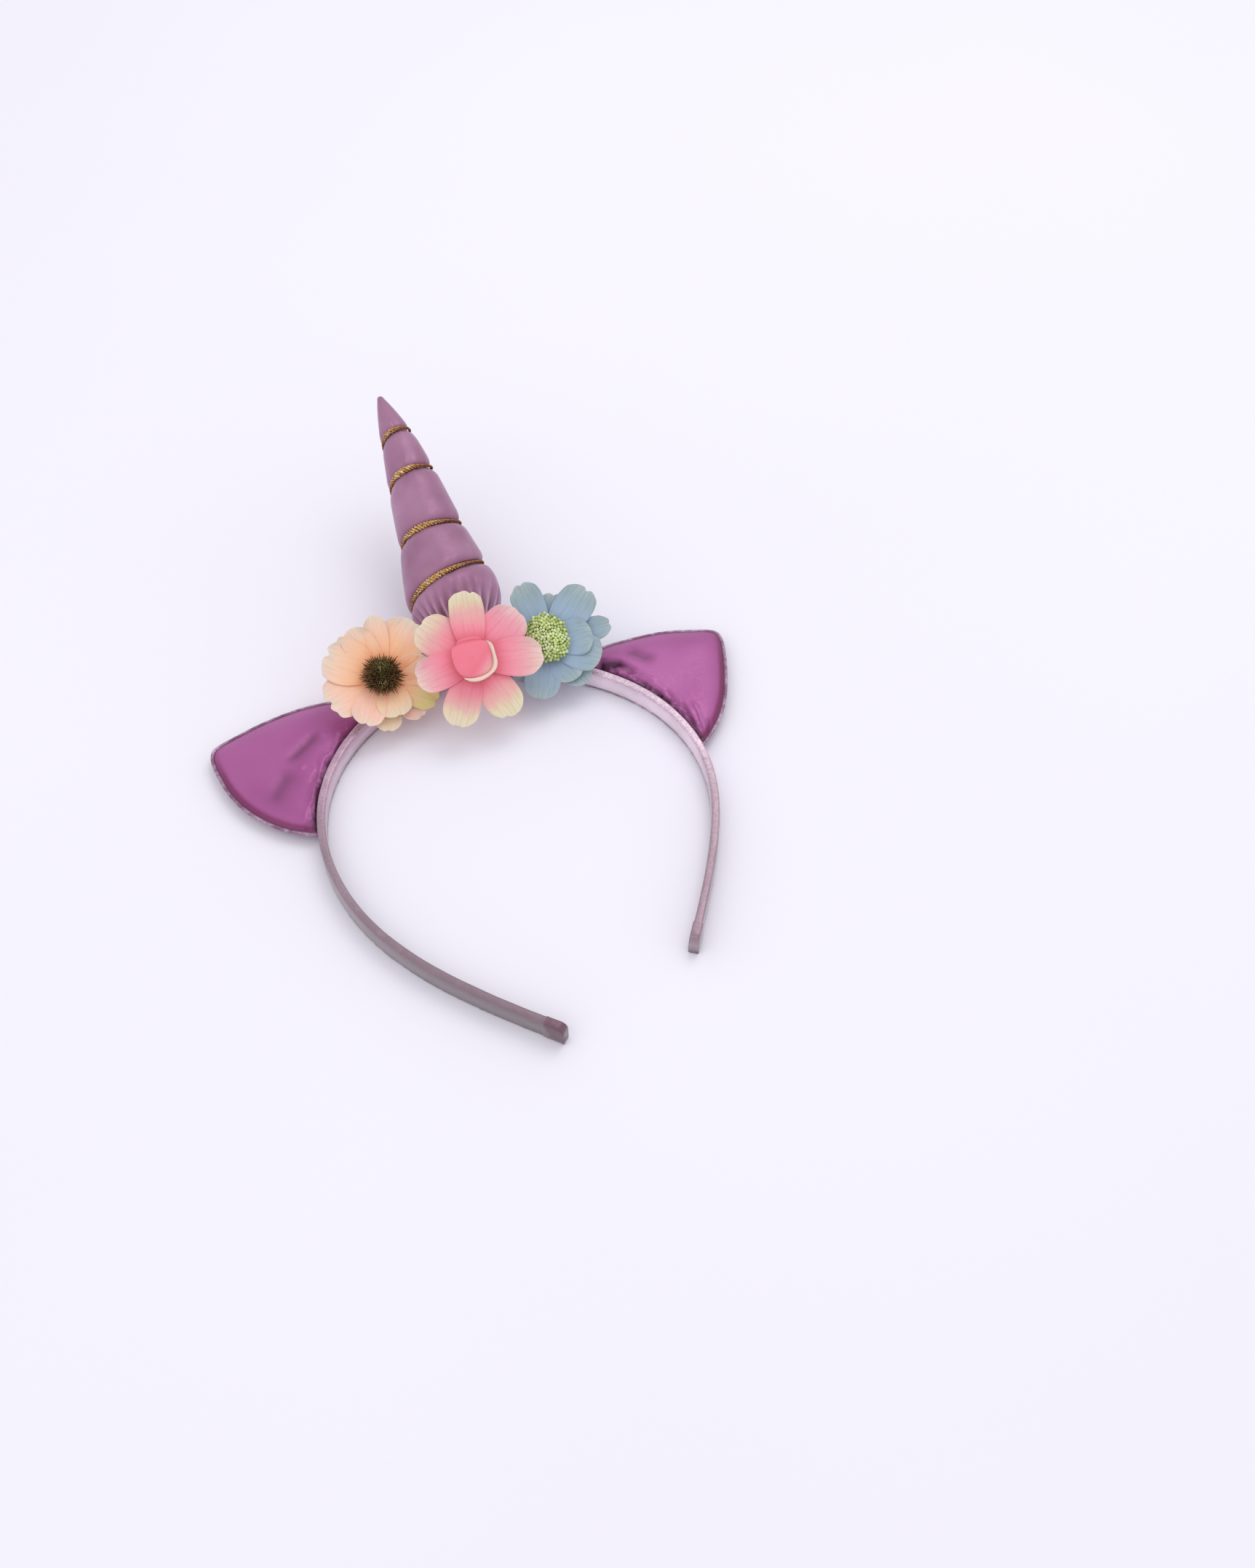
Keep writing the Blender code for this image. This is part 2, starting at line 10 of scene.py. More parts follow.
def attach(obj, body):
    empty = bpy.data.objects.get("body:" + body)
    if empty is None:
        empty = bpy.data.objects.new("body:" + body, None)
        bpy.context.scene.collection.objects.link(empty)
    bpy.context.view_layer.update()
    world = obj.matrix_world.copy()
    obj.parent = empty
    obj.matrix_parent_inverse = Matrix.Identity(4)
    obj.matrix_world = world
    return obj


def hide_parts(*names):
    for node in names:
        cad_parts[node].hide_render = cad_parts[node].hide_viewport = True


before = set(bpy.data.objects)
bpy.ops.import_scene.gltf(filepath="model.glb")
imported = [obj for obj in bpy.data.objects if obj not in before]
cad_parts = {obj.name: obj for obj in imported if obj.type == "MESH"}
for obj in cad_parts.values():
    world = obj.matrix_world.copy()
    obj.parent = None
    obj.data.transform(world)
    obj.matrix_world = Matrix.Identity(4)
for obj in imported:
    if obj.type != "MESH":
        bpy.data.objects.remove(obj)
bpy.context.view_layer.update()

MM = 0.001

# The band's line, in millimetres, with the middle of its top at (0, 0)
BAND_WIDTH = 8.0
BAND_THICKNESS = 2.6
MID = BAND_WIDTH / 2.0
KNOTS = [(-20.28, -145.7), (-47.49, -114.08), (-64.7, -78.97), (-63.03, -39.78), (-38.02, -9.62),
         (0.0, 0.0), (32.51, -12.88), (55.29, -39.57), (59.68, -73.97), (45.5, -106.37),
         (27.23, -132.8)]
ORIGIN = np.array((0.57, 21.51, 0.0))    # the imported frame's place of (0, 0, 0)


def natural_spline(values, at):
    values = np.asarray(values, float)
    count = len(values)
    system = np.eye(count)
    target = np.zeros(count)
    for row in range(1, count - 1):
        system[row, row - 1:row + 2] = (1.0, 4.0, 1.0)
        target[row] = 6.0 * (values[row - 1] - 2.0 * values[row] + values[row + 1])
    bend = np.linalg.solve(system, target)
    at = np.asarray(at, float)
    low = np.clip(at.astype(int), 0, count - 2)
    after = at - low
    before = 1.0 - after
    return (before * values[low] + after * values[low + 1]
            + ((before ** 3 - before) * bend[low] + (after ** 3 - after) * bend[low + 1]) / 6.0)


class CentreLine:
    def __init__(self):
        knots = np.array(KNOTS)
        places = np.linspace(0.0, len(knots) - 1.0, 2400)
        self.x = natural_spline(knots[:, 0], places)
        self.y = natural_spline(knots[:, 1], places)
        steps = np.hypot(np.diff(self.x), np.diff(self.y))
        length = np.concatenate([[0.0], np.cumsum(steps)])
        self.length = length - np.interp(5.0, places, length)
        self.start = self.length[0]
        self.end = self.length[-1]
        along_x = np.gradient(self.x, self.length)
        along_y = np.gradient(self.y, self.length)
        size = np.hypot(along_x, along_y)
        self.out = np.stack([-along_y / size, along_x / size], 1)

    def outward(self, place):
        return np.stack([np.interp(place, self.length, self.out[:, 0]),
                         np.interp(place, self.length, self.out[:, 1])], -1)

    def point(self, place, outwards=0.0):
        middle = np.stack([np.interp(place, self.length, self.x),
                           np.interp(place, self.length, self.y)], -1)
        return middle + self.outward(place) * np.asarray(outwards)[..., None]


LINE = CentreLine()


# Materials

def colour(red, green, blue):
    """Linear colour from the 0 to 255 values seen in daylight."""
    def linear(value):
        value /= 255.0
        return value / 12.92 if value <= 0.04045 else ((value + 0.055) / 1.055) ** 2.4
    return (linear(red), linear(green), linear(blue), 1.0)


class Finish:
    """A Principled material and the nodes that lead to it."""

    def __init__(self, name, **sockets):
        self.made = bpy.data.materials.new(name)
        self.made.use_nodes = True
        self.tree = self.made.node_tree
        self.shader = self.tree.nodes["Principled BSDF"]
        for key, value in sockets.items():
            self.shader.inputs[key.replace("_", " ")].default_value = value
        self.place = self.add("ShaderNodeTexCoord").outputs["Object"]

    def add(self, kind, **settings):
        node = self.tree.nodes.new(kind)
        for key, value in settings.items():
            setattr(node, key, value)
        return node

    def link(self, value, socket):
        if isinstance(value, bpy.types.NodeSocket):
            self.tree.links.new(value, socket)
        else:
            socket.default_value = value

    def attribute(self, name):
        return self.add("ShaderNodeAttribute", attribute_name=name).outputs["Fac"]

    def noise(self, scale, detail, roughness, at=None):
        node = self.add("ShaderNodeTexNoise")
        place = self.place if at is None else at
        for key, value in (("Vector", place), ("Scale", scale), ("Detail", detail),
                           ("Roughness", roughness)):
            self.link(value, node.inputs[key])
        return node.outputs["Fac"]

    def cells(self, scale):
        node = self.add("ShaderNodeTexVoronoi")
        self.link(self.place, node.inputs["Vector"])
        self.link(scale, node.inputs["Scale"])
        return node.outputs

    def vector(self, x, y):
        node = self.add("ShaderNodeCombineXYZ")
        self.link(x, node.inputs["X"])
        self.link(y, node.inputs["Y"])
        return node.outputs["Vector"]

    def math(self, operation, first, second):
        node = self.add("ShaderNodeMath", operation=operation)
        self.link(first, node.inputs[0])
        self.link(second, node.inputs[1])
        return node.outputs[0]

    def times(self, first, second):
        return self.math("MULTIPLY", first, second)

    def span(self, value, low, high, to_low=0.0, to_high=1.0):
        """Value from low to high turned smoothly into one from to_low to to_high."""
        node = self.add("ShaderNodeMapRange", interpolation_type="SMOOTHSTEP")
        for key, entry in (("Value", value), ("From Min", low), ("From Max", high), ("To Min", to_low),
                           ("To Max", to_high)):
            self.link(entry, node.inputs[key])
        return node.outputs["Result"]

    def ramp(self, value, stops):
        """Colour from stops of a position with red, green and blue from 0 to 255."""
        node = self.add("ShaderNodeValToRGB")
        elements = node.color_ramp.elements
        while len(elements) < len(stops):
            elements.new(0.5)
        for element, (position, *tone) in zip(elements, stops):
            element.position = position
            element.color = colour(*tone)
        self.link(value, node.inputs["Fac"])
        return node.outputs["Color"]

    def mix(self, share, first, second, blend="MIX"):
        node = self.add("ShaderNodeMix", data_type="RGBA", blend_type=blend)
        self.link(share, node.inputs["Factor"])
        self.link(first, node.inputs[6])
        self.link(second, node.inputs[7])
        return node.outputs[2]

    def bump(self, height, distance, strength):
        """Relief of so many metres, over any relief that is there already."""
        node = self.add("ShaderNodeBump")
        normal = self.shader.inputs["Normal"]
        self.link(strength, node.inputs["Strength"])
        self.link(distance, node.inputs["Distance"])
        self.link(height, node.inputs["Height"])
        if normal.is_linked:
            self.link(normal.links[0].from_socket, node.inputs["Normal"])
        self.link(node.outputs["Normal"], normal)

    def paint(self, value):
        self.link(value, self.shader.inputs["Base Color"])

    def rough(self, value):
        self.link(value, self.shader.inputs["Roughness"])

    def speckle(self, grain, dark, pale):
        """Paint that wanders with the grain between two tones."""
        self.paint(self.ramp(grain, [(0.3, *dark), (0.7, *pale)]))


# Meshes

def add_mesh(name, points, faces, finish, replaced=(), attributes=None):
    """Piece of the object from points in millimetres in the band's frame."""
    mesh = bpy.data.meshes.new(name)
    placed = (np.asarray(points, float) + ORIGIN) * MM
    mesh.from_pydata([tuple(point) for point in placed], [], faces)
    mesh.update()
    mesh.polygons.foreach_set("use_smooth", [True] * len(mesh.polygons))
    for key, values in (attributes or {}).items():
        layer = mesh.attributes.new(key, "FLOAT", "POINT")
        layer.data.foreach_set("value", np.asarray(values, np.float32))
    mesh.materials.append(finish.made)
    made = bpy.data.objects.new(name, mesh)
    bpy.context.scene.collection.objects.link(made)
    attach(made, "root")
    if replaced:
        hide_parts(*replaced)
    return made


def grid_faces(rows, columns, wrap=False, start=0, flip=False):
    faces = []
    last = columns if wrap else columns - 1
    for row in range(rows - 1):
        for column in range(last):
            first = start + row * columns + column
            second = start + row * columns + (column + 1) % columns
            face = (first, second, second + columns, first + columns)
            faces.append(face[::-1] if flip else face)
    return faces


def fan(count, apex, start=0, flip=False):
    """Triangles from a closed ring of points to one more point."""
    ring = [(start + k, start + (k + 1) % count) for k in range(count)]
    return [(second, first, apex) if flip else (first, second, apex) for first, second in ring]


def circle(count):
    return np.arange(count) * 2.0 * math.pi / count


def noise_field(*coordinates):
    """Blender's noise at points given by three arrays or numbers."""
    coordinates = np.broadcast_arrays(*coordinates)
    points = np.stack([values.ravel() for values in coordinates], 1)
    return np.array([noise.noise(Vector(point)) for point in points]).reshape(coordinates[0].shape)


def ripple(points, scale, seed):
    """Smooth noise from -1 to 1 at points in millimetres, scale being the size of its waves."""
    return noise_field(*(points / scale + np.array((seed, seed * 1.7, -seed))).T)


def along_line(points, places, length):
    """Points at so many places along a line of points with known lengths."""
    return np.stack([np.interp(places, length, column) for column in points.T], 1)


def run_length(points):
    return np.concatenate([[0.0], np.cumsum(np.linalg.norm(np.diff(points, axis=0), axis=1))])


def sheet_shares(rows, columns):
    """Shares along a sheet from 0 to 1 and across it from -1 to 1."""
    return np.meshgrid(np.linspace(0.0, 1.0, rows), np.linspace(-1.0, 1.0, columns), indexing="ij")


def thicken(made, thickness):
    cloth = made.modifiers.new("cloth", "SOLIDIFY")
    cloth.thickness = thickness * MM
    cloth.offset = -1.0


def unit(value):
    return np.clip(value, 0.0, 1.0)


def bell(value, half_width):
    return np.exp(-(value / half_width) ** 2)


def smooth(value, low, high):
    share = unit((np.asarray(value, float) - low) / (high - low))
    return share * share * (3.0 - 2.0 * share)


def distance_to(points, line):
    """Distance in the plane from each point to an open polyline."""
    first, step = line[:-1], line[1:] - line[:-1]
    offset = points[:, None, :] - first[None]
    share = (offset * step).sum(2) / (step ** 2).sum(1)
    near = offset - unit(share)[..., None] * step
    return np.sqrt((near ** 2).sum(2).min(1))


# Ribbon-covered band

END_FOLD = 7.0
END_FOLD_STEP = 0.3
END_CORNER = 2.4
BAND_ROUND = 0.6


def band_finish():
    made = Finish("ribbon", Metallic=0.4, Sheen_Weight=0.2)
    place = made.attribute("place")
    height = made.attribute("height")
    share = made.math("ADD", made.times(place, 1.0 / 400.0), 0.5)
    # painted reflection: one ribbon all over, drawn pale pink along the arch where it mirrors the bright room
    # and greyer mauve on the legs
    tone = made.ramp(share, [
        (0.00, 120, 106, 110), (0.12, 132, 118, 122), (0.26, 158, 140, 148),
        (0.32, 202, 168, 188), (0.42, 214, 176, 198), (0.60, 248, 222, 238),
        (0.74, 248, 222, 238), (0.79, 190, 166, 178),
        (0.86, 170, 148, 158), (1.00, 172, 150, 160)])
    lengthwise = made.vector(made.times(place, 0.1), height)
    streak = made.noise(1.6, 4.0, 0.6, at=lengthwise)
    crinkle = made.noise(420.0, 3.0, 0.65)
    blotch = made.noise(60.0, 3.0, 0.6)
    tone = made.mix(made.span(blotch, 0.35, 0.7, 0.0, 0.30), tone, colour(126, 110, 118))
    # painted highlights: pale streaks along the ribbon and a paler middle of its face, on the pale arch
    bright = made.times(made.span(share, 0.26, 0.36, 0.2, 1.0),
                        made.span(share, 0.82, 0.74, 0.35, 1.0))
    highlight_streaks = made.times(bright, made.span(streak, 0.4, 0.75, 0.0, 0.38))
    tone = made.mix(highlight_streaks, tone, colour(240, 230, 238))
    middle = made.times(bright, made.times(made.span(height, 1.6, 3.4), made.span(height, 6.6, 4.6)))
    tone = made.mix(made.times(middle, 0.32), tone, colour(250, 240, 248))
    back = made.times(made.span(height, 1.9, 0.7), made.span(crinkle, 0.3, 0.55, 0.45, 0.95))
    tone = made.mix(back, tone, colour(112, 102, 108))
    grain = made.noise(1300.0, 2.0, 0.6)
    front = made.times(made.span(height, 6.7, 7.5), made.span(grain, 0.4, 0.6, 0.15, 0.45))
    tone = made.mix(front, tone, colour(142, 104, 128))
    tone = made.mix(made.times(made.attribute("fold"), 0.8), tone, colour(108, 74, 88))
    made.paint(tone)
    made.rough(made.span(streak, 0.3, 0.7, 0.28, 0.44))
    made.bump(streak, 0.0002, 0.5)
    made.bump(crinkle, 0.00016, 0.35)
    made.bump(made.noise(2600.0, 2.0, 0.5), 0.00004, 0.6)
    return made


def band_section(half, top):
    """Rounded outline of the band's section, as steps outwards and heights."""
    def straight(out, low, far_out, high, count):
        shares = [k / (count - 1) for k in range(count)]
        return [(out + (far_out - out) * share, low + (high - low) * share) for share in shares]

    def turn(out, up, start):
        angles = [math.radians(start - 22.5 * k) for k in range(1, 4)]
        return [(out + BAND_ROUND * math.cos(angle), up + BAND_ROUND * math.sin(angle)) for angle in angles]

    inner, outer, low, high = BAND_ROUND - half, half - BAND_ROUND, BAND_ROUND, top - BAND_ROUND
    return (straight(-half, low, -half, high, 9) + turn(inner, high, 180.0)
            + straight(inner, top, outer, top, 3) + turn(outer, high, 90.0)
            + straight(half, high, half, low, 9) + turn(outer, low, 0.0)
            + straight(outer, 0.0, inner, 0.0, 3) + turn(inner, low, -90.0))


def build_band():
    corner = np.linspace(0.0, 1.0, 9) ** 1.6 * END_CORNER
    body = np.linspace(LINE.start + END_FOLD, LINE.end - END_FOLD, 420)
    fold = np.array([3.2, 4.2, 5.2, 6.2, END_FOLD - 0.45, END_FOLD - 0.15])
    near = np.concatenate([corner, fold])
    places = np.concatenate([LINE.start + near, body, LINE.end - near[::-1]])
    points, place_of, height_of, fold_of = [], [], [], []
    for place in places:
        from_end = min(place - LINE.start, LINE.end - place)
        half = BAND_THICKNESS / 2.0 + END_FOLD_STEP * smooth(-from_end, -END_FOLD, -END_FOLD + 0.4)
        reach = max(END_CORNER - from_end, 0.0)
        top = BAND_WIDTH - (END_CORNER - math.sqrt(max(END_CORNER ** 2 - reach ** 2, 0.0)))
        outward = LINE.outward(place)
        middle = LINE.point(place)
        for out, up in band_section(half, top):
            crown = 0.16 * (1.0 - (up / MID - 1.0) ** 2) * (1.0 if out > 0.0 else -0.4)
            wave = 0.07 * noise.noise(Vector((place / 5.0, up / 3.0, out)))
            crinkle = 0.16 * noise.noise(Vector((place / 0.9, up / 1.5, out + 9.0)))
            crinkle *= smooth(-up, -2.2, -0.6)
            side = out + (crown + wave + crinkle) * (abs(out) / half)
            lift = up + 0.05 * noise.noise(Vector((place / 3.0, out, 4.0))) * min(1.0, up / MID)
            points.append((middle[0] + outward[0] * side, middle[1] + outward[1] * side, lift))
            place_of.append(place)
            height_of.append(up)
            slant = END_FOLD - 3.0 + 2.6 * (up / BAND_WIDTH)
            fold_of.append(smooth(slant - from_end, -0.6, 0.6) * (1.0 if place < 0.0 else 0.3))
    count = len(points) // len(places)
    faces = grid_faces(len(places), count, wrap=True)
    faces.append(tuple(range(count))[::-1])
    faces.append(tuple(range((len(places) - 1) * count, len(places) * count)))
    add_mesh("ribbon_band", points, faces, band_finish(), ("band",),
             {"place": place_of, "height": height_of, "fold": fold_of})


# Padded ears

# Free edge of each ear from its upper corner to its lower one, at the height of its seam
EAR_EDGES = {
    "left": [(-35.6, -4.2), (-39.0, 1.6), (-44.0, 5.2), (-50.0, 6.7), (-57.0, 7.2), (-64.6, 6.8),
             (-72.0, 5.8), (-79.6, 4.1), (-85.6, 2.6), (-88.6, 1.2), (-90.2, -1.4), (-90.7, -5.5),
             (-90.3, -11.2), (-89.3, -17.6), (-87.2, -24.6), (-83.6, -31.7), (-77.9, -38.9),
             (-71.6, -44.1), (-66.6, -46.9)],
    "right": [(41.4, -12.6), (43.4, -9.0), (49.0, -7.7), (57.0, -7.9), (64.0, -8.5), (71.0, -9.6),
              (78.0, -11.8), (84.4, -14.3), (87.9, -16.3), (89.3, -19.0), (88.8, -23.6),
              (86.9, -29.2), (83.9, -36.6), (79.6, -45.2), (74.6, -52.4), (69.0, -58.0),
              (64.6, -61.2), (62.3, -63.2)],
}
EAR_HALF = 3.4
EAR_SEAT = BAND_THICKNESS / 2.0 + 0.35
EAR_RINGS = 46
RIM_HALF = 0.60
SEAM_IN = 1.25    # how far in from the rim the seam runs
SEAM_DEPTH = 0.34

# Folds pressed into the upper face: x, y, x, y, depth (up is negative), half width
EAR_FOLDS = {
    "left": [(-76.5, -30.0, -68.0, -20.5, 0.62, 3.6), (-66.5, -15.5, -54.5, -8.0, 0.72, 2.4),
             (-64.5, -18.5, -63.0, -20.0, -0.35, 0.9), (-54.0, -9.8, -52.5, -9.0, -0.35, 0.8),
             (-60.0, -23.5, -54.5, -17.5, -0.45, 1.0), (-62.0, -27.0, -58.0, -20.5, 0.40, 0.8),
             (-66.0, -38.0, -61.5, -28.0, -0.35, 1.3), (-69.5, -44.5, -64.5, -35.0, 0.45, 0.9),
             (-52.0, -17.0, -47.0, -10.5, -0.4, 0.8), (-72.0, -45.0, -67.0, -38.0, -0.3, 1.2)],
    "right": [(44.0, -16.6, 50.5, -19.0, 1.9, 1.5), (50.5, -19.0, 53.5, -25.0, 1.3, 1.3),
              (42.5, -18.4, 50.0, -26.5, 1.5, 1.0), (46.5, -17.6, 53.0, -22.5, -0.5, 0.7),
              (55.5, -14.5, 61.5, -22.0, 0.7, 2.4), (50.5, -26.5, 55.5, -33.5, 0.7, 0.7),
              (53.5, -27.5, 58.5, -37.5, 0.9, 0.8), (55.5, -27.0, 58.5, -31.0, -0.4, 0.7),
              (57.5, -36.5, 60.0, -42.0, 1.0, 0.9), (60.5, -37.0, 61.8, -45.0, 0.35, 0.8),
              (63.3, -45.0, 63.6, -61.0, 0.8, 0.6), (61.3, -46.0, 62.2, -60.0, -0.4, 0.7),
              (66.0, -49.0, 64.0, -62.0, 0.5, 0.7), (69.0, -54.0, 64.5, -62.5, 0.55, 0.7),
              (71.0, -57.0, 65.0, -62.0, -0.35, 0.7), (67.0, -46.0, 65.5, -55.0, -0.3, 0.9)],
}


def spline_through(points, count):
    points = np.array(points, float)
    at = np.linspace(0.0, len(points) - 1.0, count * 4)
    curve = np.stack([natural_spline(points[:, 0], at), natural_spline(points[:, 1], at)], 1)
    length = run_length(curve)
    return along_line(curve, np.linspace(0.0, length[-1], count), length)


def base_place(point, sign):
    """Place along the band that lies nearest to a point."""
    places = np.linspace(25.0, 110.0, 1200) * sign
    line = LINE.point(places, BAND_THICKNESS / 2.0)
    return places[np.hypot(*(line - np.array(point)).T).argmin()]


def fold_depth(points, folds):
    total = np.zeros(len(points))
    for x0, y0, x1, y1, depth, half_width in folds:
        along = np.array((x1 - x0, y1 - y0))
        offset = points - np.array((x0, y0))
        share = offset @ along / (along @ along)
        near = offset - unit(share)[:, None] * along
        taper = smooth(share, -0.25, 0.25) * smooth(-share, -1.25, -0.75)
        total += depth * taper * np.exp(-((near ** 2).sum(1) / half_width ** 2))
    return total


def ear_finish():
    made = Finish("ear_leatherette", Metallic=0.35, Coat_Weight=0.12, Coat_Roughness=0.22)
    soft = made.noise(26.0, 2.0, 0.5)
    tone = made.mix(made.span(soft, 0.3, 0.7), colour(158, 76, 137), colour(174, 93, 154))
    # painted reflection of the nearby flower, reddish at the ear's upper corner
    tone = made.mix(made.times(made.attribute("flower_reflection"), 0.8), tone, colour(196, 62, 84))
    # painted shade: darker band inside the rim where the padding rounds down
    tone = made.mix(made.times(made.attribute("inside"), 0.85), tone, colour(118, 26, 78))
    # painted shade in the pressed folds, the crumples and along the base
    tone = made.mix(made.attribute("crease"), tone, colour(60, 12, 46))
    # painted highlights: pale glints along the rim's grey-mauve piping
    glint = made.span(made.noise(190.0, 4.0, 0.7), 0.38, 0.72)
    tone = made.mix(made.attribute("rim"), tone, made.mix(glint, colour(128, 84, 116), colour(204, 176, 198)))
    tone = made.mix(made.times(made.attribute("seam"), 0.85), tone, colour(84, 30, 66))
    made.paint(tone)
    fine = made.noise(900.0, 3.0, 0.6)
    made.rough(made.span(fine, 0.3, 0.7, 0.30, 0.44))
    made.bump(fine, 0.00006, 0.5)
    made.bump(made.cells(1500.0)["Distance"], 0.00003, 0.4)
    return made


def build_ear(side, finish):
    sign = -1.0 if side == "left" else 1.0
    free = spline_through(EAR_EDGES[side], 190)
    upper, lower = base_place(free[0], sign), base_place(free[-1], sign)
    base = LINE.point(np.linspace(lower, upper, 80)[1:-1], EAR_SEAT)
    outline = np.concatenate([free, base])
    centre = free.mean(0) * 0.55 + base.mean(0) * 0.45
    # only points that go on turning about the centre, so that no two rays cross at the corners
    bearing = np.unwrap(np.arctan2(*(outline - centre).T[::-1]))
    way = np.sign(bearing[-1] - bearing[0])
    ahead = way * bearing >= np.maximum.accumulate(way * bearing) - 1e-9
    outline = outline[ahead]
    on_rim = np.arange(len(ahead))[ahead] < len(free)
    wobble = ripple(np.column_stack([outline, np.zeros(len(outline))]), 2.2, 3.0)
    inwards = (centre - outline) / np.hypot(*(centre - outline).T)[:, None]
    outline += inwards * (0.10 * wobble * on_rim)[:, None]
    free = outline[on_rim]
    shares = (np.arange(EAR_RINGS) / EAR_RINGS) ** 1.7
    flat = (outline[None] + (centre - outline)[None] * shares[:, None, None]).reshape(-1, 2)
    flat = np.vstack([flat, centre])
    to_rim = distance_to(flat, free)
    to_base = distance_to(flat, LINE.point(np.linspace(lower, upper, 120), EAR_SEAT))
    edge = np.sqrt(unit(1.0 - (1.0 - unit(to_rim / 0.5)) ** 2))
    flange = RIM_HALF * edge - SEAM_DEPTH * bell(to_rim - SEAM_IN, 0.34)
    # depth in from the whole rim at once, which rounds the padding over at the tip
    pieces = np.hypot(*np.diff(free, axis=0).T)
    middles = (free[1:] + free[:-1]) / 2.0
    reaches = np.sqrt(((flat[:, None] - middles[None]) ** 2).sum(2))
    soft_depth = (0.5 * (pieces / np.maximum(reaches, 0.4) ** 3).sum(1)) ** -0.5
    swell = 1.0 - (1.0 - unit((soft_depth - 1.2) / 13.0)) ** 2.4
    half = flange + (EAR_HALF - 0.62) * swell
    at_base = 1.1 + 1.3 * np.sqrt(unit(to_base / 2.0)) + 1.0 * smooth(to_base, 0.0, 11.0)
    half = -np.log(np.exp(-half * 2.2) + np.exp(-at_base * 2.2)) / 2.2 + 0.02
    half = np.clip(half, 0.0, EAR_HALF)
    depth = fold_depth(flat, EAR_FOLDS[side])
    grid3 = np.column_stack([flat, np.full(len(flat), 2.0 * sign)])
    crumple_share = (1.0 if side == "right" else 0.30) * bell(to_base, 2.6)
    crumple = np.abs(ripple(grid3, 2.6, 1.0)) + 0.5 * np.abs(ripple(grid3, 1.3, 2.0))
    crumple_depth = crumple_share * (crumple * 1.8 - 0.25)
    gentle = 0.22 * ripple(grid3, 14.0, 5.0) * smooth(to_rim, 2.0, 8.0)
    inside = smooth(to_rim, 0.8, 1.5)
    top = half - (depth + crumple_depth) * inside + gentle
    top = np.maximum(top, 0.12)
    count = len(outline)
    upper_points = np.column_stack([flat, MID + top])
    lower_points = np.column_stack([flat, MID - half * 0.97 + 0.1 * gentle])
    faces = grid_faces(EAR_RINGS, count, wrap=True)
    apex = len(flat) - 1
    faces += fan(count, apex, apex - count)
    offset = len(flat)
    faces += grid_faces(EAR_RINGS, count, wrap=True, start=offset, flip=True)
    faces += fan(count, offset + apex, offset + apex - count, flip=True)
    faces += [((k + 1) % count, k, offset + k, offset + (k + 1) % count) for k in range(count)]
    if sign > 0:
        faces = [face[::-1] for face in faces]
    # painted shade: a darker band inside the rim, on the side away from the horn, where the padding rounds
    # down
    away = -(flat[:, 1] - centre[1]) + 0.9 * sign * (flat[:, 0] - centre[0])
    below = smooth(away, 2.0, 20.0)
    line = np.exp(-np.clip((to_rim - 2.1) / 0.95, -9.0, 9.0) ** 2) * (0.12 + 0.88 * below)
    deep, dark = (1.05, 0.7) if side == "left" else (1.3, 0.9)
    # painted shade: darker in the pressed folds, the crumples and along the base where the ear meets the band
    crease = dark * unit(depth / deep) ** 1.2 + 0.6 * unit(crumple_depth / 1.1)
    crease = unit(crease + 0.95 * bell(to_base, 1.4)) * inside
    seam = bell(to_rim - SEAM_IN, 0.32) * (to_rim < to_base)
    rim = (1.0 - smooth(to_rim, 0.9, 1.3)) * (to_rim < to_base + 1.0)
    # painted reflection of the nearby flower: reddish towards the ear's upper corner, weaker on the right ear
    corner = free[0] - centre
    flower_reflection = smooth((flat - centre) @ corner / np.hypot(*corner), 22.0, 34.0)
    if sign > 0:
        flower_reflection = 0.25 * flower_reflection
    both = {"crease": (crease, crease * 0.0), "rim": (rim, rim), "inside": (line, line),
            "seam": (seam, seam), "flower_reflection": (flower_reflection, flower_reflection)}
    values = {key: np.concatenate(pair) for key, pair in both.items()}
    made = add_mesh("padded_ear_" + side, np.vstack([upper_points, lower_points]), faces, finish,
                    ("ear_" + side,), values)


# Stuffed horn

HORN_LENGTH = 108.4
HORN_RADIUS = 17.2
HORN_LEAN = math.radians(18.8)
HORN_SWAY = math.radians(2.7)
HORN_OFFSET = 4.6
HORN_FLOOR_GAP = 0.1
GAP = 0.3
CORD_RADIUS = 0.8
GROOVE_DEPTH = 4.3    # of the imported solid; the satin over it is drawn in less
GROOVE_SHARE = 0.58
GROOVE_HALF = 5.5
GROOVE_FLAT = 1.25
SATIN_SHARE = 0.965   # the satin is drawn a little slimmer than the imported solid
PUCKER_DEPTH = 0.42
PLEATS = 26
PLEAT_DEPTH = 1.15
SWELL_DEPTH = 0.28
TIP_BEND = 1.5
HORN_PROFILE = [(0.000, 0.40), (0.030, 0.44), (0.070, 0.51), (0.110, 0.66), (0.150, 0.86),
                (0.195, 0.98), (0.240, 1.00), (0.340, 0.88), (0.420, 0.77), (0.520, 0.69),
                (0.600, 0.62), (0.690, 0.53), (0.770, 0.44), (0.860, 0.34), (0.920, 0.24),
                (0.965, 0.145), (1.000, 0.055)]
CORD_TURNS = [(-0.6, 0.885), (0.0, 0.850), (1.0, 0.815), (2.0, 0.694), (3.0, 0.646), (4.0, 0.470),
              (5.0, 0.440), (6.0, 0.310), (7.0, 0.221), (7.7, 0.150)]
CORD_TURN_START = math.radians(172.0)


def profile(share):
    return np.interp(share, *zip(*HORN_PROFILE))


def cord_share(half_turns):
    turns = np.array([row[0] for row in CORD_TURNS])
    shares = [row[1] for row in CORD_TURNS]
    return natural_spline(shares, np.interp(half_turns, turns, np.arange(len(turns))))


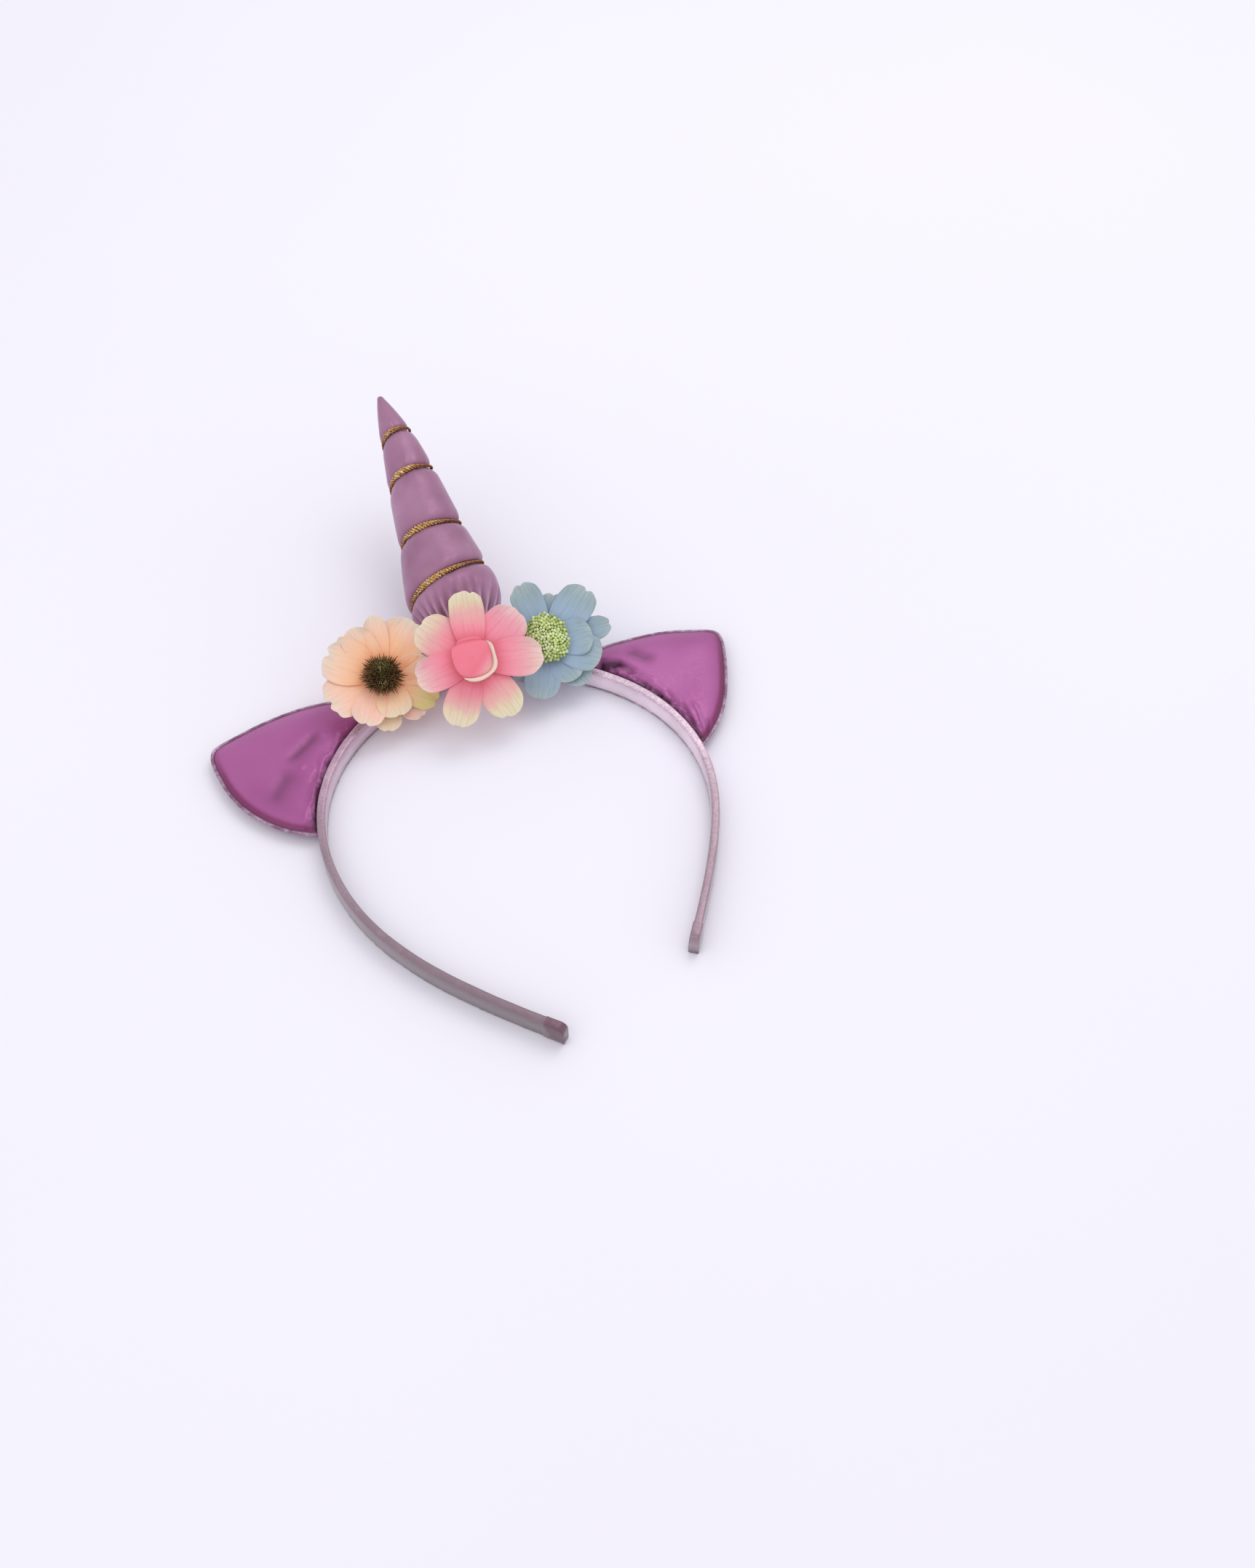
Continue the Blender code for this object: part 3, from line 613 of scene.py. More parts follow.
def horn_swell(share):
    fine = np.linspace(0.0, 1.0, 801)
    radii = profile(fine)
    width = bell(np.arange(-24, 25), 11.0)
    padded = np.concatenate([np.full(24, radii[0]), radii, np.linspace(radii[-1], 0.0, 24)])
    soft = np.convolve(padded, width / width.sum(), "valid")
    return SATIN_SHARE * HORN_RADIUS * np.interp(share, fine, soft)


def groove(share, angle):
    """Distance in millimetres along the horn from each point to the nearest turn of the cord."""
    nearest = np.full(np.shape(share), 1e3)
    first = (CORD_TURN_START - angle) / math.pi
    low, high = CORD_TURNS[0][0], CORD_TURNS[-1][0]
    for turn in range(-2, 7):
        half = first + 2.0 * turn
        inside = (half >= low - 0.25) & (half <= high + 0.25)
        reach = np.where(inside, (share - cord_share(np.clip(half, low, high))) * HORN_LENGTH, 1e3)
        nearest = np.where(np.abs(reach) < np.abs(nearest), reach, nearest)
    return nearest


def groove_depth(share):
    return GROOVE_DEPTH * np.minimum(1.0, 0.35 + 0.65 * horn_swell(share) / HORN_RADIUS)


def horn_frame():
    """Middle of the horn's foot on the band, and the ways to its left, its front and its tip."""
    corner = np.array((*LINE.point(HORN_OFFSET, BAND_THICKNESS / 2.0), BAND_WIDTH))
    axis = np.array((math.sin(HORN_SWAY), math.cos(HORN_SWAY) * math.cos(HORN_LEAN),
                     math.cos(HORN_SWAY) * math.sin(HORN_LEAN)))
    left = np.array((-1.0, 0.0, 0.0))
    left = left - axis * (left @ axis)
    left /= np.linalg.norm(left)
    return corner, left, np.cross(axis, left), axis


HORN_CORNER, HORN_LEFT, HORN_FRONT, HORN_AXIS = horn_frame()


def horn_places(share, angle, radius):
    ring = (radius * np.cos(angle))[..., None] * HORN_LEFT + (radius * np.sin(angle))[..., None] * HORN_FRONT
    return ring + (share * HORN_LENGTH)[..., None] * HORN_AXIS


def horn_shift():
    """Slide that sets the horn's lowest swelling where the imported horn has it."""
    angle, share = np.meshgrid(circle(24), np.linspace(0.0, 1.0, 59))
    reach = np.minimum(np.abs(groove(share, angle)) / GROOVE_HALF, 1.0)
    pinch = np.minimum(1.0, GROOVE_FLAT * (0.5 + 0.5 * np.cos(math.pi * reach)))
    radius = HORN_RADIUS * profile(share) - groove_depth(share) * pinch
    heights = horn_places(share, angle, radius)[..., 2]
    slide = (HORN_FLOOR_GAP - heights.min() - HORN_CORNER[2] - HORN_AXIS[2] * GAP) / HORN_FRONT[2]
    return HORN_CORNER + HORN_AXIS * GAP + HORN_FRONT * slide


HORN_SHIFT = horn_shift()


def horn_points(share, angle, radius):
    """Points of the dressed horn in its place, with its slack tip leaning to the left."""
    points = horn_places(share, angle, radius) + HORN_SHIFT
    points[..., 0] -= TIP_BEND * smooth(share, 0.70, 1.05) ** 1.5
    return points


def horn_finish():
    made = Finish("horn_satin", Metallic=0.30, Sheen_Weight=0.5, Sheen_Roughness=0.35,
                  Sheen_Tint=colour(190, 180, 196))
    soft = made.noise(42.0, 3.0, 0.55)
    tone = made.ramp(soft, [(0.30, 140, 89, 120), (0.50, 157, 108, 139), (0.72, 174, 126, 157)])
    # painted shade in the pleat valleys and painted highlights on the pleat crests
    tone = made.mix(made.times(made.attribute("valley_shade"), 0.9), tone, colour(96, 50, 78))
    tone = made.mix(made.attribute("crest_highlight"), tone, colour(246, 216, 234))
    # painted shade beside the cord, where it draws the satin in
    tone = made.mix(made.times(made.attribute("groove"), 0.75), tone, colour(120, 66, 76))
    made.paint(tone)
    weave = made.noise(1700.0, 2.0, 0.5)
    made.rough(made.span(weave, 0.3, 0.7, 0.36, 0.50))
    made.bump(weave, 0.00003, 0.5)
    return made


def build_horn():
    around, along = ((168, 330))
    share_line = np.concatenate([np.linspace(0.0, 0.22, along // 3, endpoint=False),
                                 np.linspace(0.22, 1.0, along - along // 3)])
    angle, share = np.meshgrid(circle(around), share_line)
    radius = horn_swell(share)
    reach = np.abs(groove(share, angle))
    gone = unit((reach - 0.75) / (GROOVE_HALF - 0.75))
    pinch = 1.0 - np.sqrt(unit(1.0 - (1.0 - gone) ** 2.2))
    radius = radius - GROOVE_SHARE * groove_depth(share) * pinch
    # the satin puckers where the cord draws it in
    pucker = noise_field(angle * 6.0, share * 18.0, 3.0)
    close = bell(reach, 4.2) * np.minimum(1.0, radius / 8.0)
    radius = radius + PUCKER_DEPTH * pucker * close
    # and is gathered at the foot in uneven pleats
    gather = 1.0 - smooth(share, 0.03, 0.235)
    strength = gather ** 0.7
    uneven = noise_field(np.cos(angle) * 1.3, np.sin(angle) * 1.3, share * 4.0)
    wave = np.cos(PLEATS * angle + 5.0 * uneven + 3.0 * share)
    pleat = np.sign(wave) * np.abs(wave) ** 0.8
    radius = radius + PLEAT_DEPTH * strength * pleat * np.clip(share / 0.03, 0.3, 1.0)
    # with slow swells all over
    round_about = np.stack([radius * np.cos(angle), radius * np.sin(angle), share * HORN_LENGTH], -1)
    large = ripple(round_about.reshape(-1, 3), 15.0, 8.0).reshape(share.shape)
    radius = np.maximum(radius + SWELL_DEPTH * large * smooth(share, 0.1, 0.3), 0.3)
    rows = len(share_line)
    centre = np.zeros(1)
    tip = horn_points(centre + 1.0, centre, centre) + HORN_AXIS * 0.9
    foot = horn_points(centre, centre, centre)
    points = np.vstack([horn_points(share, angle, radius).reshape(-1, 3), tip, foot])
    faces = grid_faces(rows, around, wrap=True)
    faces += fan(around, rows * around, (rows - 1) * around)
    faces += fan(around, rows * around + 1, flip=True)
    # painted highlights on the pleat crests and painted shade in the pleat valleys
    crest_highlight = 0.95 * strength * smooth(gather, 0.05, 0.5) * unit(wave) ** 3
    values = {"valley_shade": strength * unit(-wave) ** 1.5, "crest_highlight": crest_highlight,
              # painted shade beside the cord
              "groove": bell(reach, 1.5)}
    values = {key: np.append(value.ravel(), (0.0, 0.0)) for key, value in values.items()}
    made = add_mesh("stuffed_horn", points, faces, horn_finish(), ("horn",), values)


# Twisted cord

CORD_STRANDS = 3
CORD_SIDES = 8
CORD_PITCH = 3.4
STRAND_OUT = 0.42    # from the cord's middle to each strand's, before the cord bunches up
STRAND_RADIUS = 0.46


def cord_finish():
    made = Finish("gold_cord", Roughness=0.34, Metallic=0.4)
    cells = made.cells(2000.0)
    # the cord's gold, its near-white cells painted sparkle highlights
    bright = made.ramp(cells["Color"], [(0.15, 164, 100, 46), (0.40, 220, 162, 80),
                                        (0.65, 250, 220, 150), (0.85, 255, 246, 216)])
    dull = made.ramp(cells["Color"], [(0.2, 126, 72, 44), (0.8, 172, 112, 66)])
    # painted light and shade: bright gold where the turns face up and down, duller brown at the horn's sides
    tone = made.mix(made.attribute("bunch"), dull, bright)
    # painted shade on the strands' inner sides, where they meet
    tone = made.mix(made.attribute("valley_shade"), tone, colour(104, 58, 30))
    made.paint(tone)
    made.bump(cells["Distance"], 0.00022, 0.9)
    return made


def build_cord():
    first, last = CORD_TURNS[0][0], CORD_TURNS[-1][0]
    half_turns = np.linspace(first - 0.1, last, 4000)
    share = cord_share(np.maximum(half_turns, first))
    angle = CORD_TURN_START - half_turns * math.pi
    lift = horn_swell(share) - GROOVE_SHARE * groove_depth(share) + 0.12 + CORD_RADIUS
    route = horn_points(share, angle, lift)
    length = run_length(route)
    count = 1100
    even = np.linspace(0.0, length[-1], count)
    route = along_line(route, even, length)
    along = np.gradient(route, axis=0)
    along /= np.linalg.norm(along, axis=1)[:, None]
    away = route - HORN_SHIFT
    away = away - (away @ HORN_AXIS)[:, None] * HORN_AXIS
    away -= (away * along).sum(1)[:, None] * along
    away /= np.linalg.norm(away, axis=1)[:, None]
    beside = np.cross(along, away)
    # the cord bunches up where its turns face up and down, and is thin at the horn's sides
    bunch = 0.5 + 0.5 * np.cos(2.0 * (np.interp(even, length, angle) - math.radians(62.0)))
    bunch = bunch ** 2.0 * np.clip(horn_swell(np.interp(even, length, share)) / 9.0, 0.35, 1.0)
    size = 0.60 + 0.85 * bunch
    route += away * (0.25 * bunch)[:, None]
    taper = np.minimum(1.0, np.minimum(even, length[-1] - even) / 1.2) ** 0.5
    points, faces, valley_shade, bunched = [], [], [], []
    for strand in range(CORD_STRANDS):
        turn = 2.0 * math.pi * (even / CORD_PITCH + strand / CORD_STRANDS)
        outwards = np.cos(turn)[:, None] * away + np.sin(turn)[:, None] * beside
        start = len(points)
        for k in range(count):
            sideways = np.cross(along[k], outwards[k])
            for around in circle(CORD_SIDES):
                way = math.cos(around) * outwards[k] + math.sin(around) * sideways
                strand_out = STRAND_OUT * outwards[k] + STRAND_RADIUS * way * max(taper[k], 0.08)
                points.append(route[k] + strand_out * size[k])
                # painted shade on the side of each strand that faces the others
                valley_shade.append(0.7 * max(0.0, -math.cos(around)))
                bunched.append(bunch[k])
        faces += grid_faces(count, CORD_SIDES, wrap=True, start=start)
        faces.append(tuple(start + side for side in range(CORD_SIDES))[::-1])
        faces.append(tuple(start + (count - 1) * CORD_SIDES + side for side in range(CORD_SIDES)))
    add_mesh("twisted_cord", points, faces, cord_finish(), ("horn_cord",),
             {"valley_shade": valley_shade, "bunch": bunched})


# Flowers

class Flower:
    """Local frame of a flower, with +Z the way it faces."""

    def __init__(self, place, over, rise, down, right, lean):
        self.lean = np.array(lean)    # how far cloth shifts for each millimetre that it rises
        middle = LINE.point(place)
        self.origin = np.array((middle[0], middle[1] + over, BAND_WIDTH + rise))
        turn = Matrix.Rotation(math.radians(right), 3, "Y") @ Matrix.Rotation(math.radians(down), 3, "X")
        self.turn = np.array(turn)

    def place(self, points):
        points = np.array(points, float)
        points[..., :2] += points[..., 2:] * self.lean
        return points @ self.turn.T + self.origin


# Half widths of the band to the left and to the right, and the flowers' radii, as in the CAD
LEFT_HALF, RIGHT_HALF = 66.7, 60.1
PEACH = Flower(-0.425 * LEFT_HALF, 0.27 * 20.5, 7.0, 24.0, 4.0, (-0.18, -0.30))
PINK = Flower(0.026 * RIGHT_HALF, -0.40 * 24.2, 13.2, 27.0, -3.0, (-0.13, -0.22))
BLUE = Flower(0.520 * RIGHT_HALF, 0.14 * 21.2, 6.4, 22.0, -8.0, (-0.12, -0.30))


PETAL_ROWS, PETAL_COLUMNS = 21, 17
PETAL_CLOTH = 0.32
BUD_CLOTH = 0.28


def petal_points(petal, lift, number):
    """Rows of one petal from its base to its tip, in the flower's frame."""
    t, s = sheet_shares(PETAL_ROWS, PETAL_COLUMNS)
    base, belly = petal["base"], petal["belly"]
    shape = base + (1.0 - base) * np.sin(unit(t / belly) * math.pi / 2.0) ** 1.2
    shape = np.where(t > belly, 1.0 - petal["taper"] * ((t - belly) / (1.0 - belly)) ** 2.0, shape)
    tip = 1.0 - petal["round_off"] * np.abs(s) ** 2.6
    for where, depth, half in petal["notches"]:
        tip = tip - depth * bell(s - where, half)
    along = petal["reach"] * (0.06 + 0.94 * t) * (1.0 - (1.0 - tip) * t ** 3.0)
    side = s * petal["width"] / 2.0 * shape
    wave = noise_field(t * 2.2, s * 1.4, number * 3.7)
    up = (petal["level"] + lift + petal["cup"] * t ** 2
          - petal["droop"] * unit(t - 0.75) ** 2 * 16.0
          + petal["hollow"] * (np.abs(s) ** 2 - 0.35) * t + petal["wavy"] * wave * t
          - petal["tilt"] * s * t)
    turn = math.radians(petal["angle"])
    x = along * math.cos(turn) + side * math.sin(turn)
    y = along * math.sin(turn) - side * math.cos(turn)
    return np.stack([x, y, up], -1), t, s


def build_petals(name, flower, petals, finish, replaced, lift=0.0):
    points, faces = [], []
    values = {key: [] for key in ("along", "across", "kind", "shade", "green")}
    for number, petal in enumerate(petals):
        rows, t, s = petal_points(petal, lift, number + len(name))
        faces += grid_faces(*t.shape, start=len(points))
        points += list(flower.place(rows.reshape(-1, 3)))
        shade = 0.35 * (1.0 - smooth(t, 0.22, 0.42))
        for key, value in (("along", t), ("across", s), ("kind", petal["tone"]), ("shade", shade),
                           ("green", petal["green"])):
            values[key] += list(np.broadcast_to(value, t.shape).ravel())
    made = add_mesh(name, points, faces, finish, (replaced,), values)
    thicken(made, PETAL_CLOTH)
    fine = made.modifiers.new("fine", "SUBSURF")
    fine.levels = 1
    fine.render_levels = 1


def petal_finish(name, stops, other_stops, dark):
    """Cloth whose colour runs from base to tip; kind 0 to 1 turns it from the first run to the other."""
    made = Finish(name, Roughness=0.78, Sheen_Weight=0.3, Subsurface_Weight=0.12,
                  Subsurface_Radius=(0.002, 0.001, 0.001))
    along, across = made.attribute("along"), made.attribute("across")
    smear = made.noise(160.0, 3.0, 0.6)
    run = made.math("ADD", along, made.times(made.math("SUBTRACT", smear, 0.5), 0.26))
    tone = made.mix(made.attribute("kind"), made.ramp(run, stops), made.ramp(run, other_stops))
    ripe = made.times(made.attribute("green"), made.span(run, 0.35, 0.85))
    tone = made.mix(ripe, tone, colour(224, 212, 138))
    strip = made.vector(made.times(across, 8.0), made.times(along, 1.6))
    vein = made.noise(1.0, 3.0, 0.6, at=strip)
    tone = made.mix(made.span(vein, 0.4, 0.75, 0.0, 0.18), tone, (1.0, 1.0, 1.0, 1.0), "SOFT_LIGHT")
    tone = made.mix(made.span(vein, 0.5, 0.3, 0.0, 0.16), tone, dark, "MULTIPLY")
    tone = made.mix(made.attribute("shade"), tone, dark, "MULTIPLY")
    made.paint(tone)
    made.bump(vein, 0.00016, 0.28)
    made.bump(made.noise(2400.0, 2.0, 0.6), 0.00005, 0.5)
    return made


# What a row below leaves out, as shares of the petal's width and length or in millimetres
USUAL_PETAL = dict(base=0.42, belly=0.66, taper=0.16, notches=((0.0, 0.05, 0.16),), droop=0.0, hollow=0.7,
                   wavy=0.6, tilt=0.0, green=0.0)
FRONT_LIFT = 1.3    # front petals above the back ones


def petal(angle, reach, width, level, tone, round_off, cup, **others):
    """One petal: its direction in degrees, then millimetres, a tone from 0 to 1, and how round its tip is.

    Each notch in its tip has a place across from -1 to 1, a depth and a half width.
    """
    return dict(USUAL_PETAL, angle=angle, reach=reach, width=width, level=level, tone=tone,
                round_off=round_off, cup=cup, **others)


PINK_PETALS = [
    petal(77.0, 23.8, 12.0, 1.3, 0.95, 0.12, 2.4, belly=0.62, taper=0.1,
          notches=((0.35, 0.05, 0.1), (-0.3, 0.015, 0.1)), base=0.55),
    petal(27.0, 22.8, 15.0, 0.5, 0.12, 0.15, 3.2, notches=((0.1, 0.02, 0.2),), base=0.5, hollow=0.9),
    petal(-17.0, 23.6, 14.0, 1.3, 0.35, 0.16, 3.0, notches=((-0.2, 0.03, 0.15),), base=0.5, tilt=0.5),
    petal(-75.0, 23.8, 13.4, 0.4, 1.0, 0.14, 0.8, notches=((0.45, 0.05, 0.12),), droop=0.8, base=0.6),
    petal(-124.0, 24.2, 12.4, 0.9, 0.9, 0.12, 0.8, notches=((0.0, 0.02, 0.2),), droop=0.5, base=0.6,
          belly=0.75),
    petal(182.0, 20.6, 12.5, 1.5, 0.25, 0.14, 1.6, notches=((0.2, 0.03, 0.2),), base=0.6, tilt=-0.7,
          hollow=1.2),
    petal(127.0, 21.6, 15.0, 0.3, 0.75, 0.13, 2.0, notches=((0.1, 0.03, 0.2),), base=0.5, tilt=0.5),
]
PEACH_BACK = [
    petal(124.0, 16.8, 9.0, 0.2, 0.1, 0.12, 1.6),
    petal(170.0, 16.6, 11.0, 0.1, 0.2, 0.12, 1.4),
    petal(216.0, 16.8, 10.0, 0.1, 0.7, 0.12, 1.2),
    petal(259.0, 20.2, 9.6, 0.1, 0.2, 0.12, 1.0, green=0.25, notches=((0.1, 0.03, 0.14),)),
    petal(295.0, 19.8, 9.6, 0.2, 0.9, 0.14, 0.8, notches=((0.0, 0.03, 0.14),)),
    petal(344.0, 18.5, 13.0, 0.0, 0.0, 0.14, 0.6),
    petal(22.0, 18.5, 12.0, 0.0, 0.0, 0.14, 1.0),
    petal(68.0, 13.0, 10.0, 0.0, 0.0, 0.14, 1.4),
]
PEACH_FRONT = [
    petal(108.0, 19.4, 11.5, 0.3, 0.05, 0.14, 2.4, base=0.5, notches=((-0.5, 0.03, 0.14),), hollow=0.8),
    petal(80.5, 21.6, 8.2, 0.2, 0.1, 0.13, 2.4, base=0.6, notches=(), hollow=0.9),
    petal(143.0, 20.4, 17.5, 0.7, 0.1, 0.1, 2.8, wavy=0.8, notches=((0.05, 0.11, 0.1), (0.75, 0.07, 0.2)),
          hollow=1.0),
    petal(194.0, 21.2, 15.5, 0.3, 0.45, 0.1, 2.2, wavy=0.7, notches=((0.0, 0.09, 0.11), (-0.6, 0.04, 0.15))),
    petal(233.0, 19.0, 11.5, 0.6, 0.8, 0.13, 1.8, wavy=0.7, notches=((-0.1, 0.05, 0.12),)),
    petal(274.0, 15.6, 12.0, 0.5, 0.0, 0.12, 1.4, green=0.2, notches=((0.0, 0.04, 0.14),)),
    petal(317.0, 20.6, 11.0, 0.3, 0.0, 0.14, 0.6, green=0.95),
    petal(355.0, 17.0, 11.5, 0.2, 0.0, 0.14, 0.8),
    petal(45.0, 22.6, 16.5, 0.3, 0.0, 0.14, 1.8, notches=((0.2, 0.03, 0.12),)),
]
BLUE_BACK = [
    petal(-5.0, 22.8, 9.0, 0.6, 0.3, 0.14, 1.6, tilt=0.5, notches=((0.0, 0.03, 0.2),)),
    petal(290.0, 19.4, 11.0, 0.0, 0.4, 0.15, 0.8, notches=()),
    petal(60.0, 18.5, 12.0, 0.0, 0.6, 0.15, 1.6),
    petal(130.0, 18.5, 13.0, 0.0, 0.2, 0.15, 0.8),
    petal(200.0, 17.5, 12.0, 0.0, 0.2, 0.15, 0.4),
]
BLUE_FRONT = [
    petal(90.5, 23.8, 11.2, 0.3, 0.6, 0.1, 2.8, base=0.45, notches=((0.0, 0.04, 0.16), (-0.8, 0.04, 0.3)),
          belly=0.75),
    petal(33.0, 24.2, 13.8, 0.4, 0.5, 0.12, 2.4, wavy=0.8, base=0.5, notches=((0.12, 0.06, 0.11),)),
    petal(-38.0, 18.8, 13.5, 0.5, 0.25, 0.12, 1.4, notches=(), base=0.5, tilt=0.4),
    petal(-122.0, 20.2, 12.6, 0.6, 0.2, 0.15, 0.8, notches=((0.1, 0.02, 0.2),)),
    petal(165.0, 17.5, 13.0, 0.1, 0.2, 0.15, 0.5),
    petal(-10.0, 15.6, 13.5, 0.9, 0.3, 0.16, 1.2, notches=()),
    petal(-76.0, 16.0, 12.0, 0.2, 0.3, 0.16, 0.8, notches=()),
]


GOLDEN_ANGLE = 2.399963    # radians; turns by it spread points evenly over a disc
BRUSH_RADIUS = 4.6
BRUSH_FOOT = 2.4
FIBRE_RADIUS = 0.40
PIPS = 190
PIPS_RADIUS = 7.4
STEM_RADIUS = 0.26


def spike_mesh(roots, tips, bends, radius, sides, levels):
    """Tapered, bent fibres from roots to tips."""
    points, faces, along = [], [], []
    for root, tip, bend in zip(roots, tips, bends):
        way = tip - root
        way = way / np.linalg.norm(way)
        first = np.cross(way, (0.3, 0.9, 0.2))
        first /= np.linalg.norm(first)
        second = np.cross(way, first)
        start = len(points)
        for level in range(levels):
            share = level / (levels - 1.0)
            middle = root + (tip - root) * share + bend * math.sin(math.pi * share) * 0.5
            size = radius * (1.0 - 0.75 * share)
            for turn in circle(sides):
                points.append(middle + (math.cos(turn) * first + math.sin(turn) * second) * size)
                along.append(share)
        faces += grid_faces(levels, sides, wrap=True, start=start)
        faces.append(tuple(start + (levels - 1) * sides + side for side in range(sides)))
    return points, faces, along


def build_brush():
    finish = Finish("brush_fibre", Roughness=0.7)
    tint = finish.ramp(finish.attribute("kind"), [(0.0, 104, 68, 38), (0.35, 146, 112, 68),
                                                  (0.65, 160, 158, 98), (1.0, 240, 224, 188)])
    # painted shade: fibres darker down towards their roots, among the others
    root_shade = finish.span(finish.attribute("along"), 0.1, 0.7, 0.5, 0.0)
    finish.paint(finish.mix(root_shade, tint, colour(38, 24, 14)))
    pick = random.Random(11)
    roots, tips, bends, kinds = [], [], [], []
    count = 430
    for number in range(count):
        share = math.sqrt((number + 0.5) / count)
        turn = number * GOLDEN_ANGLE
        reach = share * BRUSH_RADIUS
        root = np.array((math.cos(turn) * reach, math.sin(turn) * reach, BRUSH_FOOT))
        flare = 1.0 + 0.52 * share + pick.uniform(-0.10, 0.14)
        height = 5.4 - 2.6 * share ** 2 + pick.uniform(-0.7, 0.7)
        tip = np.array((root[0] * flare * 1.02, root[1] * flare * 1.02, BRUSH_FOOT + height))
        if share > 0.8:
            tip[:2] *= 1.0 + pick.uniform(0.0, 0.14)
        roots.append(root)
        tips.append(tip)
        bends.append(np.array([pick.uniform(-0.5, 0.5) for _ in range(3)]))
        top = math.exp(-((tip[0] - 0.5) ** 2 + (tip[1] - 3.2) ** 2) / 9.0)
        pale = math.exp(-((tip[0] + 0.5) ** 2 + (tip[1] + 2.6) ** 2) / 5.0)
        kinds.append(unit(0.38 * pick.random() + 0.62 * top * pick.uniform(0.3, 1.1)
                          + 0.90 * pale * pick.random() ** 1.3))
    points, faces, along = spike_mesh(PEACH.place(roots), PEACH.place(tips), bends, FIBRE_RADIUS, 3, 4)
    values = {"kind": np.repeat(kinds, len(points) // count), "along": along}
    add_mesh("fibre_brush", points, faces, finish, ("peach_brush",), values)
    points, faces = dome(5.6, 2.6, 24, 6, 1.3)
    core = Finish("brush_core", Roughness=0.8)
    core.speckle(core.noise(900.0, 3.0, 0.6), (26, 16, 10), (70, 48, 28))
    core.bump(core.noise(1400.0, 2.0, 0.6), 0.0002, 0.8)
    add_mesh("brush_core", PEACH.place(points), faces, core)


def dome(radius, height, sides, rings, lift):
    points = []
    for ring in range(rings):
        slope = ring / rings * math.pi / 2.0
        points += [(radius * math.cos(slope) * math.cos(turn), radius * math.cos(slope) * math.sin(turn),
                    lift + height * math.sin(slope)) for turn in circle(sides)]
    points.append((0.0, 0.0, lift + height))
    faces = grid_faces(rings, sides, wrap=True)
    faces += fan(sides, rings * sides, (rings - 1) * sides)
    return np.array(points), faces


def ball_mesh(centres, radii):
    """Small round pips with 26 corners each."""
    sides, rings = 8, 4
    ball = [(0.0, 0.0, -1.0)]
    for slope in np.arange(1, rings) * math.pi / rings:
        ball += [(math.sin(slope) * math.cos(turn), math.sin(slope) * math.sin(turn), -math.cos(slope))
                 for turn in circle(sides)]
    ball = np.array(ball + [(0.0, 0.0, 1.0)])
    points, faces = [], []
    for centre, radius in zip(centres, radii):
        start = len(points)
        points += list(centre + radius * ball)
        faces += fan(sides, start, start + 1, flip=True)
        faces += grid_faces(rings - 1, sides, wrap=True, start=start + 1)
        faces += fan(sides, start + len(ball) - 1, start + 1 + (rings - 2) * sides)
    return points, faces


def build_stamens():
    pip = Finish("stamen_pips", Roughness=0.55)
    tint = pip.ramp(pip.attribute("kind"), [(0.0, 158, 176, 92), (0.5, 222, 236, 162), (1.0, 250, 253, 226)])
    grain = pip.noise(700.0, 2.0, 0.5)
    pip.paint(pip.mix(pip.span(grain, 0.35, 0.7, 0.0, 0.4), tint, colour(176, 196, 108)))
    pip.bump(pip.noise(2500.0, 2.0, 0.5), 0.00006, 0.6)
    pick = random.Random(5)
    centres, radii, kinds, roots = [], [], [], []
    for number in range(PIPS):
        share = (number + 0.5) / PIPS
        turn = number * GOLDEN_ANGLE
        reach = PIPS_RADIUS * math.sqrt(share) * pick.uniform(0.97, 1.03)
        up = 2.2 + 4.6 * math.sqrt(max(0.0, 1.0 - (reach / 8.4) ** 2)) + pick.uniform(-0.35, 0.45)
        x, y = reach * math.cos(turn), reach * math.sin(turn)
        centres.append((0.6 + x, 2.0 + 1.2 * y, up))
        roots.append((0.6 + 0.7 * x, 1.4 + 0.8 * y, 1.6))
        radii.append(pick.uniform(0.52, 0.70))
        kinds.append(unit(0.5 + 0.35 * pick.uniform(-1.0, 1.0) + 0.25 * (up - 6.5) / 2.0))
    centres, roots = BLUE.place(centres), BLUE.place(roots)
    points, faces = ball_mesh(centres, radii)
    add_mesh("stamen_pips", points, faces, pip, ("blue_stamens",),
             {"kind": np.repeat(kinds, len(points) // PIPS)})
    stem = Finish("stamen_stems", Roughness=0.7)
    stem.speckle(stem.noise(500.0, 2.0, 0.5), (120, 136, 62), (190, 206, 120))
    points, faces, _ = spike_mesh(roots, centres, np.zeros((PIPS, 3)), STEM_RADIUS, 4, 2)
    add_mesh("stamen_stems", points, faces, stem)
    points, faces = dome(6.2, 4.0, 28, 7, 1.3)
    points = points * np.array((1.0, 1.15, 1.0)) + np.array((0.6, 1.6, 0.0))
    core = Finish("stamen_core", Roughness=0.8)
    core.speckle(core.noise(600.0, 3.0, 0.6), (60, 66, 24), (120, 126, 56))
    core.bump(core.noise(1200.0, 2.0, 0.6), 0.0002, 0.8)
    add_mesh("stamen_core", BLUE.place(points), faces, core)


def squared(turn):
    """Reach of the bud's wall with its four soft corners, as a share of its mean."""
    return 1.0 + 0.035 * np.cos(4.0 * (turn - math.radians(40.0)))


